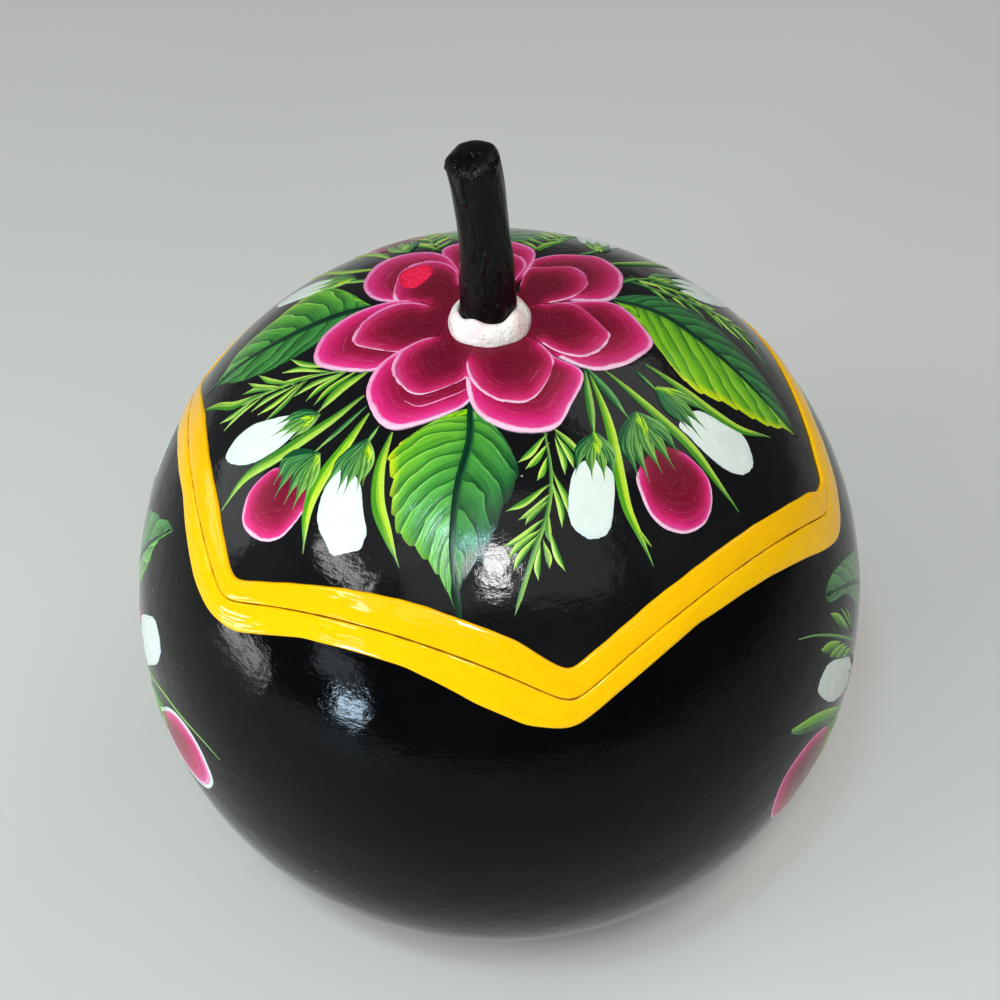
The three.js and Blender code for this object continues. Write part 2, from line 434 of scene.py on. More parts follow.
def disc(canvas, kind, points, layer, base=None, tone=0.5, warmth=0.5, glow=(0, 0), count=72, rings=16,
         thickness=0.03, raggedness=0.0, root_shade=0.75, heart=0.0, depth=1.0, crowding=1.0,
         centre_share=0.5):
    """A petal or bud: rings of one outline round a centre that lies a share of the way from base to tip."""
    edge = smooth_curve(points, count, closed=True)
    if signed_area(edge) < 0:
        edge = edge[::-1]
    root = np.asarray(base, float) if base is not None else edge[np.argmin(np.hypot(edge[:, 0], edge[:, 1]))]
    tip = edge[np.argmax(np.hypot(*(edge - root).T))]
    centre = root + centre_share * (tip - root)
    if raggedness:
        wobble = 1 + raggedness * rng.uniform(-1, 1, count)[:, None]
        edge = centre + (edge - centre) * wobble
    away = (edge - centre) / np.hypot(*(edge - centre).T)[:, None]
    to_root = (root - tip) / np.hypot(*(root - tip))
    rootward = np.clip((away @ to_root - 0.25) / 0.7, 0, 1)
    side_glow = away @ np.asarray(glow, float)
    shares = np.sin(np.linspace(0, 1, rings + 1)[1:] * math.pi / 2) ** 1.15
    base_height = layer * LAYER + DISC_BASE
    upper, lower, brushes = [], [], []
    for share in shares:
        spots = centre + (edge - centre) * share
        height = base_height + thickness * (1 - share**6)
        upper.append(canvas.place(spots, np.full(count, height if share < 1 else base_height - 0.01)))
        lower.append(canvas.place(spots, np.full(count, -FILM_ROOT)))
        across = share * (1 - root_shade * rootward) + 0.10 * side_glow * share * (1 - share) * 4
        across = heart + (depth - heart) * np.maximum(across, 0) ** crowding
        brushes.append(np.stack([away[:, 0], away[:, 1], across], -1))
    middle = canvas.place(centre[None], np.array([base_height + thickness]))[0]
    bottom = canvas.place(centre[None], np.array([-FILM_ROOT]))[0]
    points, faces = closed_body(middle, upper + lower[::-1], bottom)
    brush = np.concatenate(brushes + brushes[::-1] + [[[0, 0, heart], [0, 0, heart]]])
    canvas.films[kind].add(points, faces, brush, tone, warmth)


def leaf_half(canvas, rib_path, edge, lobes, tone, warmth, tooth=0.5, bow=0.10, vein_reach=0.84,
              vein_sweep=1.9):
    """Half a leaf between its midrib and its edge, both from base to tip, with one lobe of paint per vein.

    The veins sweep forward: they leave the midrib well before they reach the edge. Tone and warmth are
    functions of the shares along and across the half.
    """
    share = np.linspace(0, 1, lobes * ROWS_PER_LOBE + 1)
    rib = along_curve(rib_path, vein_reach * share**vein_sweep)
    rim = along_curve(edge, share)
    phase = share * lobes
    fraction = phase - np.floor(phase)
    outwards = rim - rib
    reach = np.maximum(np.hypot(outwards[:, 0], outwards[:, 1]), 1e-6)
    saw = np.where(fraction < 0.75, (fraction / 0.75) ** 0.7, ((1 - fraction) / 0.25) ** 0.8) - 0.5
    notch = tooth * saw * np.clip(reach / 6, 0, 1) * np.clip((1 - share) * 6, 0, 1)
    rim = rib + outwards * (1 + notch / reach)[:, None]
    aside = turned_left(outwards) / reach[:, None]
    whole = np.asarray(rib_path[-1], float) - np.asarray(rib_path[0], float)
    if np.sum(aside @ whole) > 0:
        aside = -aside
    v = np.linspace(0, 1, LEAF_COLUMNS)
    spots = rib[:, None] * (1 - v)[None, :, None] + rim[:, None] * v[None, :, None]
    bowed = bow * np.sin(math.pi * v)[None] * reach[:, None]
    spots = spots + aside[:, None] * bowed[..., None]
    base = LEAF_LAYER * LAYER + LEAF_BASE
    tops = base + LEAF_BULGE * (1 - fraction)[:, None] * np.sin(math.pi * np.clip(v, 0.03, 1)) ** 0.5
    tops[:, -1] = base - 0.01
    tops[:, 0] = base
    brush = np.stack(np.broadcast_arrays(phase[:, None], v[None], float(rng.uniform(0, 40))), -1)
    tones = np.clip(tone(share[:, None], v[None]), 0, 1)
    warmths = np.clip(warmth(share[:, None], v[None]), 0, 1)
    sweep(canvas, "leaves", spots, tops, brush, tones, warmths)


def calyx(canvas, root, teeth, body, layer, width, bright):
    """The green cup of a bud: broad strokes, many fine ones that end in thin teeth, then a few light ones.

    The bright share says which tooth, counted from the first to the last, the light falls on.
    """
    root = np.asarray(root, float)
    tips = np.asarray(teeth, float)
    middles = np.asarray(body, float)
    count = len(tips)
    fine_layer = layer + count * 0.6
    for i in range(count):
        reach = tips[i] - middles[i]
        light = max(0.0, 1 - 2.2 * abs(i / (count - 1) - bright))
        stroke(canvas, [root, middles[i], middles[i] + 0.8 * reach], width * 0.8, layer + i * 0.6,
               0.08 + 0.3 * light, 0.3 * light, start=0.25, end=0.0, thickness=0.04, fullness=1.1)
    for i in rng.permutation(count):
        reach = tips[i] - middles[i]
        aside = turned_left(reach) / np.hypot(*reach)
        light = max(0.0, 1 - 1.6 * abs(i / (count - 1) - bright))
        for side in (-1, 1, 0):
            foot = root + (middles[i] - root) * rng.uniform(0.1, 0.45) + aside * side * width * 0.10
            belly = middles[i] + reach * 0.1 + aside * side * width * 0.26
            share = 1.1 if side == 0 else rng.uniform(0.5, 0.75)
            tip = middles[i] + reach * share + aside * side * width * 0.1
            tone = (0.04, 0.22, 0.42)[side + 1] * (0.5 + 0.5 * light) + 0.15 * light
            stroke(canvas, [foot, belly, 0.35 * belly + 0.65 * tip, tip],
                   width * (0.40 if side == 0 else 0.30), fine_layer + 0.4 + rng.uniform(0, 1.2), tone,
                   0.3 * light * rng.uniform(0.5, 1.5), peak=0.34, start=0.08, end=0.0, thickness=0.035,
                   fullness=1.5)
    away = middles[min(int(round(bright * (count - 1))), count - 1)] - root
    for k in range(6):
        foot = root + away * rng.uniform(0.02, 0.5) + rng.normal(0, 0.4, 2)
        tip = foot + away * rng.uniform(0.35, 0.7) + rng.normal(0, 0.3, 2)
        bend = rng.normal(0, 0.25, 2)
        stroke(canvas, [foot, 0.5 * (foot + tip) + bend, tip], rng.uniform(0.7, 1.2),
               fine_layer + 2.0 + 0.2 * k, rng.uniform(0.6, 1.0), rng.uniform(0.7, 1.0), start=0.2, end=0.1,
               thickness=0.03)


# Paint colours and materials


def linear(shade):
    """Linear colour with alpha from everyday 0 to 255 values. A node's output stays as it is."""
    if isinstance(shade, bpy.types.NodeSocket):
        return shade
    values = (value / 255 for value in shade)
    return (*(v / 12.92 if v <= 0.04045 else ((v + 0.055) / 1.055) ** 2.4 for v in values), 1)


class Surface:
    """Builds one material's nodes: a base colour that other colours cover in turn, and a relief of bumps."""

    def __init__(self, name):
        self.material = bpy.data.materials.new(name)
        self.material.use_nodes = True
        self.tree = self.material.node_tree
        self.shader = self.tree.nodes["Principled BSDF"]
        self.base = None
        self.normal = None

    def node(self, kind, inputs, **settings):
        node = self.tree.nodes.new(kind)
        for key, value in settings.items():
            setattr(node, key, value)
        for key, value in inputs.items():
            self.put(node.inputs[key], value)
        return node

    def put(self, socket, value):
        if isinstance(value, bpy.types.NodeSocket):
            self.tree.links.new(value, socket)
        else:
            socket.default_value = value

    def math(self, operation, a, b=0.0, clamp=False):
        return self.node("ShaderNodeMath", {0: a, 1: b}, operation=operation, use_clamp=clamp).outputs[0]

    def plus(self, a, b, clamp=False):
        return self.math("ADD", a, b, clamp)

    def times(self, a, b):
        return self.math("MULTIPLY", a, b)

    def attribute(self, name, output="Fac"):
        return self.node("ShaderNodeAttribute", {}, attribute_name=name).outputs[output]

    def brush(self):
        """The three values that the painted point carries in its brush attribute."""
        return self.node("ShaderNodeSeparateXYZ", {0: self.attribute("brush", "Vector")}).outputs

    def place(self, scale=(1, 1, 1)):
        """Points of the piece, in metres times a scale."""
        where = self.node("ShaderNodeTexCoord", {}).outputs["Object"]
        return self.node("ShaderNodeMapping", {"Vector": where, "Scale": scale}).outputs[0]

    def vector(self, x, y, z):
        return self.node("ShaderNodeCombineXYZ", {0: x, 1: y, 2: z}).outputs[0]

    def noise(self, vector=None, scale=1.0, detail=2.0, roughness=0.5):
        vector = self.place() if vector is None else vector
        inputs = {"Vector": vector, "Scale": scale, "Detail": detail, "Roughness": roughness}
        return self.node("ShaderNodeTexNoise", inputs).outputs["Fac"]

    def cells(self, scale):
        inputs = {"Vector": self.place(), "Scale": scale, "Randomness": 1.0}
        return self.node("ShaderNodeTexVoronoi", inputs).outputs["Distance"]

    def spread(self, value, low, high, new_low=0.0, new_high=1.0):
        inputs = {"Value": value, "From Min": low, "From Max": high, "To Min": new_low, "To Max": new_high}
        return self.node("ShaderNodeMapRange", inputs, clamp=True).outputs[0]

    def mix(self, share, a, b):
        node = self.node("ShaderNodeMix", {}, data_type="RGBA")
        for socket, value in (("Factor", share), (6, linear(a)), (7, linear(b))):
            self.put(node.inputs[socket], value)
        return node.outputs[2]

    def cover(self, shade, share, strength=None):
        """Lays a colour over the base as far as a share says, weakened by a strength."""
        if strength is not None:
            share = self.times(share, strength)
        self.base = self.mix(share, self.base, shade)

    def ramp(self, value, stops):
        node = self.node("ShaderNodeValToRGB", {"Fac": value})
        elements = node.color_ramp.elements
        while len(elements) < len(stops):
            elements.new(0.5)
        for element, (position, shade) in zip(elements, stops):
            element.position = position
            element.color = linear(shade)
        return node.outputs["Color"]

    def bump(self, height, depth, strength):
        inputs = {"Height": height, "Distance": depth, "Strength": strength}
        if self.normal is not None:
            inputs["Normal"] = self.normal
        self.normal = self.node("ShaderNodeBump", inputs).outputs[0]

    def finish(self, roughness, specular):
        self.put(self.shader.inputs["Base Color"], self.base)
        self.put(self.shader.inputs["Roughness"], roughness)
        self.put(self.shader.inputs["Specular IOR Level"], specular)
        self.put(self.shader.inputs["Normal"], self.normal)
        return self.material


def black_lacquer(name, dark, light, shine):
    """Black lacquer with the skin's fine wrinkles, brushed streaks and a few specks of dust."""
    s = Surface(name)
    s.base = s.mix(s.spread(s.noise(scale=26, detail=4, roughness=0.6), 0.42, 0.72), dark, light)
    speck = s.spread(s.cells(110), 0.035, 0.022)
    rare = s.math("GREATER_THAN", s.noise(scale=60, detail=0), 0.60)
    s.cover((150, 150, 145), s.times(speck, rare))
    s.bump(s.noise(scale=120), 0.0006, 0.35)
    s.bump(s.noise(s.place((1, 1, 1.4)), scale=760, detail=4, roughness=0.6), 0.00012, 0.34)
    s.bump(s.noise(s.place((260, 260, 1500)), detail=3, roughness=0.6), 0.00007, 0.4)
    return s.finish(s.spread(s.noise(scale=45, detail=3), 0.35, 0.7, 0.04, 0.09), shine)


def rim_paint():
    s = Surface("rim_paint")
    x, y, across = s.brush()
    strokes = s.noise(s.vector(s.times(x, 14), s.times(y, 14), s.times(across, 5)), detail=4, roughness=0.6)
    cloud = s.noise(scale=70, detail=3)
    s.base = s.mix(s.spread(strokes, 0.3, 0.75), (247, 184, 2), (251, 194, 2))
    s.cover((240, 178, 4), s.spread(cloud, 0.6, 0.85), 0.3)
    # A bead's tone turns it more orange: painted shade, used on the lid's bead.
    s.cover((249, 176, 2), s.attribute("tone"), 0.5)
    # Brown along the edge by the seam: painted shade for the narrow gap between the two beads.
    seam_shade = s.spread(s.plus(across, s.spread(strokes, 0.3, 0.7, -0.02, 0.02)), 0.03, 0.0)
    s.cover((150, 84, 6), seam_shade, 0.8)
    thin = s.spread(s.plus(across, s.spread(cloud, 0.3, 0.7, -0.03, 0.01)), 0.975, 1.0)
    s.cover((196, 146, 10), thin, 0.5)
    s.bump(s.noise(s.vector(s.times(x, 9), s.times(y, 9), s.times(across, 4)), detail=1), 0.0007, 0.3)
    s.bump(s.noise(scale=420), 0.0001, 0.2)
    return s.finish(s.spread(strokes, 0.3, 0.7, 0.05, 0.10), BEAD_SHINE)


def stem_lacquer():
    s = Surface("stem_lacquer")
    knobs = s.noise(s.place((1, 1, 0.38)), scale=230)
    s.base = s.mix(s.spread(s.noise(s.place((420, 420, 60)), detail=3), 0.4, 0.7), (5, 5, 6), (17, 17, 17))
    # Pale flecks drawn out along the stalk: chips in the lacquer, and painted glints.
    flecks_and_glints = s.spread(s.noise(s.place((1, 1, 0.5)), scale=1000), 0.67, 0.72)
    sparse = s.spread(s.noise(scale=170, detail=1), 0.54, 0.64)
    s.cover((130, 130, 126), s.times(flecks_and_glints, sparse), 0.5)
    runs = s.noise(s.place((330, 330, 42)))
    crest = s.spread(s.math("ABSOLUTE", s.math("SUBTRACT", runs, 0.52)), 0.035, 0.0)
    broken = s.spread(s.noise(s.place((1, 1, 0.6)), scale=420), 0.45, 0.6)
    s.bump(knobs, 0.0009, 0.4)
    s.bump(s.times(crest, broken), 0.0006, 0.7)
    return s.finish(s.spread(knobs, 0.35, 0.7, 0.2, 0.34), STEM_SHINE)


def paste():
    s = Surface("paste")
    cloud = s.noise(scale=260, detail=4, roughness=0.6)
    grit = s.noise(scale=1500)
    s.base = s.mix(s.spread(cloud, 0.3, 0.7), (236, 220, 211), (247, 240, 233))
    s.cover((242, 190, 192), s.spread(s.noise(scale=120), 0.48, 0.7), 0.6)
    s.cover((150, 140, 126), s.spread(grit, 0.64, 0.72), 0.4)
    s.bump(cloud, 0.0011, 0.7)
    s.bump(grit, 0.0003, 0.5)
    return s.finish(s.spread(cloud, 0.3, 0.7, 0.35, 0.55), 0.4)


def petal_paint():
    """Bands of pink that follow the petal's edge, from a dark heart to a pale rim."""
    s = Surface("petal_paint")
    x, y, t = s.brush()
    seed = s.attribute("warmth")
    depth = s.plus(s.times(t, 34), s.times(seed, 50))
    strokes = s.noise(s.vector(s.times(x, 1.1), s.times(y, 1.1), depth), detail=4, roughness=0.65)
    drift = s.noise(s.vector(x, y, s.times(seed, 30)), scale=1.3, detail=1)
    shifted = s.plus(t, s.spread(strokes, 0.25, 0.75, -0.11, 0.10))
    shifted = s.plus(shifted, s.spread(drift, 0.3, 0.7, -0.04, 0.03), clamp=True)
    inner = s.ramp(shifted, (
        (0.0, (104, 13, 36)), (0.48, (112, 15, 40)), (0.68, (142, 20, 52)),
        (0.80, (168, 24, 68)), (0.90, (200, 44, 98)), (1.0, (226, 84, 144)),
    ))
    outer = s.ramp(shifted, (
        (0.0, (108, 14, 38)), (0.48, (124, 16, 43)), (0.66, (150, 21, 58)),
        (0.80, (200, 32, 96)), (0.89, (228, 44, 126)), (1.0, (238, 92, 166)),
    ))
    s.base = s.mix(s.attribute("tone"), inner, outer)
    uneven = s.noise(s.vector(x, y, s.times(seed, 70)), scale=2.2)
    s.cover((88, 6, 30), s.spread(strokes, 0.52, 0.62), 0.46)
    s.cover((236, 92, 150), s.spread(strokes, 0.44, 0.34), s.spread(t, 0.45, 0.8, 0.08, 0.36))
    rim_start = s.spread(uneven, 0.3, 0.7, 0.94, 0.968)
    rim_here = s.plus(t, s.spread(strokes, 0.2, 0.8, -0.012, 0.012))
    rim = s.spread(s.math("SUBTRACT", rim_here, rim_start), -0.012, 0.012)
    below = s.spread(s.plus(y, s.spread(uneven, 0.3, 0.7, -0.35, 0.35)), 0.35, -0.75)
    s.cover(s.mix(s.times(below, 0.8), (238, 138, 190), (250, 216, 232)), rim, 0.92)
    spot = s.times(s.spread(s.cells(900), 0.16, 0.08), s.spread(drift, 0.5, 0.62))
    s.cover((232, 150, 172), spot, 0.2)
    grain = s.noise(scale=1300)
    s.cover((84, 6, 30), s.spread(grain, 0.3, 0.75, 0.0, 0.18))
    s.bump(strokes, 0.00012, 0.5)
    s.bump(grain, 0.00005, 0.4)
    return s.finish(s.spread(strokes, 0.3, 0.7, 0.16, 0.28), PAINT_SHINE)


def leaf_paint():
    """One lobe of paint per vein: a light line, then green that darkens towards the next lobe."""
    s = Surface("leaf_paint")
    along, v, seed = s.brush()
    tone = s.attribute("tone")
    warmth = s.attribute("warmth")
    streaks = s.noise(s.vector(s.times(along, 9), s.times(v, 1.5), seed), detail=4, roughness=0.65)
    wander = s.noise(s.vector(s.times(along, 0.9), s.times(v, 2.6), seed), detail=1)
    phase = s.math("FRACT", s.plus(along, s.spread(wander, 0.3, 0.7, -0.16, 0.16)))
    body = s.spread(phase, 0.3, 1.0, 0.85, 0.0)
    body = s.plus(body, s.spread(streaks, 0.25, 0.75, -0.32, 0.32), clamp=True)
    shadow = s.mix(tone, (6, 44, 30), (34, 112, 34))
    lit = s.mix(tone, (34, 116, 62), (92, 184, 56))
    warm_shadow = s.mix(tone, (18, 84, 22), (64, 148, 6))
    warm_lit = s.mix(tone, (96, 166, 30), (158, 214, 10))
    s.base = s.mix(body, s.mix(warmth, shadow, warm_shadow), s.mix(warmth, lit, warm_lit))
    line = s.times(s.spread(phase, 0.16, 0.03), s.spread(v, 0.08, 0.5))
    line_paint = s.mix(warmth, s.mix(tone, (84, 172, 96), (152, 222, 104)), (206, 236, 50))
    strength = s.times(s.spread(tone, 0.1, 0.6, 0.3, 0.8), s.spread(warmth, 0.3, 0.9, 1.0, 0.3))
    s.cover(line_paint, line, strength)
    s.cover((4, 24, 16), s.times(s.spread(v, 0.6, 1.0), s.spread(tone, 0.24, 0.12)), 0.75)
    s.cover((216, 226, 8), s.spread(v, 0.86, 0.97), s.times(warmth, s.spread(tone, 0.4, 0.9)))
    s.cover((8, 52, 34), s.times(s.spread(phase, 0.90, 1.0), s.spread(v, 0.02, 0.3)), 0.55)
    s.cover((8, 56, 30), s.spread(v, 0.14, 0.0), 0.5)
    s.cover((8, 34, 20), s.spread(s.noise(scale=1100), 0.35, 0.8, 0.0, 0.14))
    s.bump(streaks, 0.00014, 0.5)
    return s.finish(s.spread(streaks, 0.3, 0.7, 0.08, 0.14), LEAF_SHINE)


def green_strokes():
    """Blades, leaflets and bud cups: two greens side by side on the brush."""
    s = Surface("green_strokes")
    along, across, seed = s.brush()
    tone = s.attribute("tone")
    warmth = s.attribute("warmth")
    streaks = s.noise(s.vector(s.times(along, 2.2), s.times(across, 5.0), seed), detail=3, roughness=0.6)
    body = s.spread(s.plus(across, s.spread(streaks, 0.25, 0.75, -0.25, 0.25)), 0.28, 0.72)
    dark = s.mix(tone, (14, 66, 40), (62, 132, 48))
    light = s.mix(tone, (52, 136, 70), (186, 222, 104))
    warm_dark = s.mix(tone, (30, 94, 24), (88, 168, 12))
    warm_light = s.mix(tone, (120, 184, 34), (214, 234, 34))
    s.base = s.mix(body, s.mix(warmth, dark, warm_dark), s.mix(warmth, light, warm_light))
    pale_side = s.spread(s.plus(across, s.spread(streaks, 0.3, 0.7, -0.06, 0.06)), 0.84, 0.92)
    s.cover((206, 232, 160), pale_side, 0.22)
    s.cover((150, 190, 130), s.spread(along, 0.84, 1.0), 0.35)
    s.cover((30, 84, 52), s.spread(along, 0.25, 0.0), 0.4)
    s.cover((10, 40, 22), s.spread(s.noise(scale=1200), 0.35, 0.8, 0.0, 0.15))
    s.bump(streaks, 0.00012, 0.5)
    return s.finish(s.spread(streaks, 0.3, 0.7, 0.16, 0.28), PAINT_SHINE)


def midrib_paint():
    s = Surface("midrib_paint")
    along, across, seed = s.brush()
    streaks = s.noise(s.vector(s.times(along, 4), s.times(across, 4), seed), detail=3)
    s.base = s.mix(s.spread(streaks, 0.35, 0.75), (2, 34, 16), (10, 62, 38))
    s.cover((34, 112, 64), s.attribute("tone"), s.spread(across, 0.6, 1.0))
    s.bump(streaks, 0.00015, 0.5)
    return s.finish(s.spread(streaks, 0.3, 0.7, 0.14, 0.26), PAINT_SHINE)


def white_paint():
    s = Surface("white_paint")
    _, _, t = s.brush()
    patch = s.noise(scale=210, detail=4, roughness=0.6)
    fine = s.noise(s.place((900, 900, 500)), detail=3)
    s.base = s.mix(s.spread(patch, 0.35, 0.7), (213, 221, 210), (226, 232, 222))
    s.cover((184, 202, 212), s.times(s.spread(t, 0.78, 1.0), s.spread(patch, 0.46, 0.62)), 0.6)
    s.cover((208, 216, 208), s.spread(fine, 0.55, 0.8, 0.0, 0.2))
    s.bump(patch, 0.0003, 0.35)
    s.bump(fine, 0.00010, 0.5)
    return s.finish(s.spread(fine, 0.3, 0.7, 0.25, 0.38), PAINT_SHINE)


def red_paint():
    s = Surface("red_paint")
    _, _, t = s.brush()
    fine = s.noise(scale=900, detail=3)
    s.base = s.mix(s.spread(fine, 0.3, 0.7), (228, 6, 46), (250, 40, 92))
    s.cover((176, 18, 60), s.spread(s.plus(t, s.spread(fine, 0.3, 0.7, -0.25, 0.25)), 0.80, 1.0))
    s.bump(fine, 0.0002, 0.6)
    return s.finish(s.spread(fine, 0.3, 0.7, 0.2, 0.32), PAINT_SHINE)


def floor_paper():
    s = Surface("floor_paper")
    fibres = s.noise(scale=600)
    s.base = s.mix(s.spread(s.noise(scale=3), 0.3, 0.7), (206, 204, 199), (211, 209, 204))
    s.bump(fibres, 0.0001, 0.2)
    return s.finish(s.spread(fibres, 0.3, 0.7, 0.75, 0.85), 0.2)


# The box's own pieces


def make_lid(material):
    turns = ring_angles(BODY_STEPS)
    edge = rim_length(turns, -SEAM_GAP / 2)
    rings = [surface(edge * (i / LID_ROWS), turns) for i in range(1, LID_ROWS + 1)]
    rings += [surface(edge * (i / LID_INSIDE_ROWS), turns, -WALL) for i in range(LID_INSIDE_ROWS, 0, -1)]
    points, faces = closed_body(surface(0, 0), rings, surface(0, 0, -WALL))
    return make_piece("lacquered_lid", points, faces, material, "lid", ["lid"])


def make_bowl(material):
    turns = ring_angles(BODY_STEPS)
    rim = rim_length(turns, SEAM_GAP / 2)

    def ring(share, height=0.0):
        return surface(rim + (FOOT_LENGTH - rim) * share, turns, height)

    rings = [ring(i / BOWL_INSIDE_ROWS, -WALL) for i in range(BOWL_INSIDE_ROWS, -1, -1)]
    rings += [ring(i / BOWL_ROWS) for i in range(BOWL_ROWS + 1)]
    inside_floor = np.array([0, 0, rings[0][0, 2]])
    rings += [radius * np.stack([np.cos(turns), np.sin(turns), 0 * turns], -1) for radius in UNDERSIDE_RADII]
    points, faces = closed_body(inside_floor, rings, np.zeros(3))
    return make_piece("lacquered_bowl", points, faces, material, "bowl", ["bowl"])


def wave(turns, seed, strength):
    """A wandering edge: slow waves that close on themselves round the rim."""
    source = np.random.default_rng(seed)
    total = 0.0
    for count in (7, 11, 17, 26, 41, 63):
        ripple = np.sin(count * turns + source.uniform(0, 6.3)) * source.uniform(0.4, 1.0)
        total = total + ripple / count**0.35
    return strength * total / 1.6


def bead_width(turns, stops):
    """A bead's width all round, eased between the given azimuths and widths."""
    azimuths, widths = zip(*stops)
    width = np.interp(np.degrees(turns), azimuths, widths, period=360)
    easing = np.hanning(13)
    ends = len(easing) // 2
    looped = np.concatenate([width[-ends:], width, width[:ends]])
    return np.convolve(looped, easing / easing.sum(), "valid")


def edge_rise(distance, radius):
    """The rounded edge of a flat layer of paint, from 0 at the edge to 1 at a radius from it."""
    return np.sqrt(1 - (1 - np.clip(distance / radius, 0, 1)) ** 2)


def hump(turns, middle, reach):
    """A smooth hump round one azimuth, 1 at its middle."""
    return np.exp(-(((turns - middle) / reach) ** 2))


def make_bead(name, node, body, side, stops, seed, material, tone):
    """The raised rim paint on one side of the cut: the lid's has side -1 and the bowl's 1."""
    turns = ring_angles(BEAD_STEPS)
    near = 0.04 + np.abs(wave(turns, seed, 0.04))
    far = 0.2 + bead_width(turns, stops) + wave(turns, seed + 1, BEAD_WAVE)
    across = np.array([0, 0.015, 0.04, 0.08, 0.15, 0.25, 0.38, 0.5, 0.62, 0.75, 0.85, 0.92, 0.96, 0.985, 1])
    width = (far - near)[:, None]
    thinner = hump(turns, 0.5, 0.36) + hump(turns, 2.64, 0.36)
    crown = ((BEAD_HEIGHT + wave(turns, seed + 7, 0.06)) * (1 - 0.55 * thinner))[:, None]
    dome = 0.84 + 0.16 * np.sin(math.pi * across)[None]
    unevenness = 0.05 * np.sin(5 * across[None] + wave(turns, seed + 2, 2.0)[:, None])
    rise = edge_rise(width * across[None], 0.28) * edge_rise(width * (1 - across[None]), 0.55)
    heights = rise * (crown * dome + unevenness)
    offsets = near[:, None] + width * across[None]
    tops = surface(rim_length(turns[:, None], side * offsets), turns[:, None], heights)
    roots = surface(rim_length(turns[:, None], side * offsets[:, ::7]), turns[:, None], -BEAD_ROOT)
    sections = np.concatenate([tops, roots[:, ::-1]], 1)
    brush = np.stack(np.broadcast_arrays(np.cos(turns)[:, None], np.sin(turns)[:, None], across[None]), -1)
    brush = np.concatenate([brush, brush[:, ::-7]], 1)
    if side > 0:
        sections = sections[:, ::-1]
        brush = brush[:, ::-1]
    points, faces = closed_loop(sections)
    faces = [face[::-1] for face in faces]
    attributes = {"brush": brush.reshape(-1, 3), "tone": np.full(len(points), tone)}
    return make_piece(name, points, faces, material, body, [node], attributes, crease=75)


def make_stem(material):
    """The gourd's own stalk: ridged, a little bent, and cut off slantwise."""
    turns = ring_angles(STEM_STEPS)
    base = CROWN_LEVEL + 0.3

    def ring(share, shrink=1.0, sink=0.0):
        bent = max(0.0, share - BEND_START_SHARE) / (1 - BEND_START_SHARE)
        lean = STEM_DRIFT * share - STEM_BEND * bent**1.35
        twist = turns + 0.5 * share
        ridge = 1 + 0.020 * np.cos(5 * twist + 0.6) + 0.014 * np.sin(9 * twist + 2 + 2 * share)
        ridge = ridge + 0.014 * np.sin(3 * turns + 9 * share) + 0.007 * np.sin(14 * twist + 17 * share)
        ridge = ridge - 0.03 * np.exp(-(((turns - 4.55 - 0.25 * math.sin(6 * share)) / 0.16) ** 2))
        waist = 0.075 * math.exp(-(((share - 0.5) / 0.24) ** 2))
        swell = 1 + 0.03 * math.exp(-(((share - 0.02) / 0.08) ** 2)) - waist
        radius = (STEM_BASE_RADIUS + (STEM_TIP_RADIUS - STEM_BASE_RADIUS) * share) * ridge * swell * shrink
        radius = np.minimum(radius, STEM_BASE_RADIUS * 1.03)
        slant = max(0.0, (share - 0.8) / 0.2) * (1.2 * shrink * np.cos(turns - 0.45) - 0.3)
        level = np.full(len(turns), base + STEM_LENGTH * share) + slant - sink - 0.05
        return np.stack([lean + radius * np.cos(turns), radius * np.sin(turns), level], -1)

    rings = [ring(1, reach, 3.0 * (1 - math.sqrt(1 - 0.92 * reach**2))) for reach in STEM_END_SHARES]
    rings += [ring(0.95 - 0.95 * i / STEM_ROWS) for i in range(STEM_ROWS + 1)]
    points, faces = closed_body(rings[0].mean(0), rings, rings[-1].mean(0))
    return make_piece("stalk", points, faces, material, "lid", ["stem"], crease=60)


def make_collar(material):
    """The lumpy ring of paste that climbs from the lid to the foot of the stalk, with a dip in its front."""
    turns = ring_angles(COLLAR_STEPS)
    inner = STEM_BASE_RADIUS + 0.02
    front = hump(turns, 4.71, 0.8)
    back = hump(turns, 2.0, 1.0)
    width = COLLAR_WIDTH + 0.4 + 0.35 * np.cos(turns) - 0.8 * front - 0.9 * back + 0.12 * np.sin(7 * turns)
    top = 4.7 + 1.5 * hump(turns, 4.30, 0.42) + 0.9 * hump(turns, 5.72, 0.40)
    top = top - 0.8 * back + 0.1 * np.sin(8 * turns)
    section = []
    for share in np.linspace(0, 1, 15):
        reach = inner + 0.3 + (width - 0.3) * (1 - share**2.2) ** 0.62
        dent = 0.10 * np.sin(5 * turns + 5 * share) + 0.06 * np.sin(9 * turns - 6 * share)
        foot = surface(reach + dent * math.sin(math.pi * share), turns, 0.0)
        foot[:, 2] = foot[:, 2] + 0.25 + (top - 0.25) * share
        section.append(foot)
    lip = surface(inner, turns, 0.0)
    lip[:, 2] += top - 0.25
    under = surface(inner, turns, 0.25)
    edge = surface(inner + width, turns, 0.02)
    points, faces = closed_loop(np.stack([edge] + section + [lip, under], 1))
    return make_piece("paste_collar", points, faces, material, "lid", ["stem_collar"], crease=80)


# The painting on the lid, each list of map points measured in mm

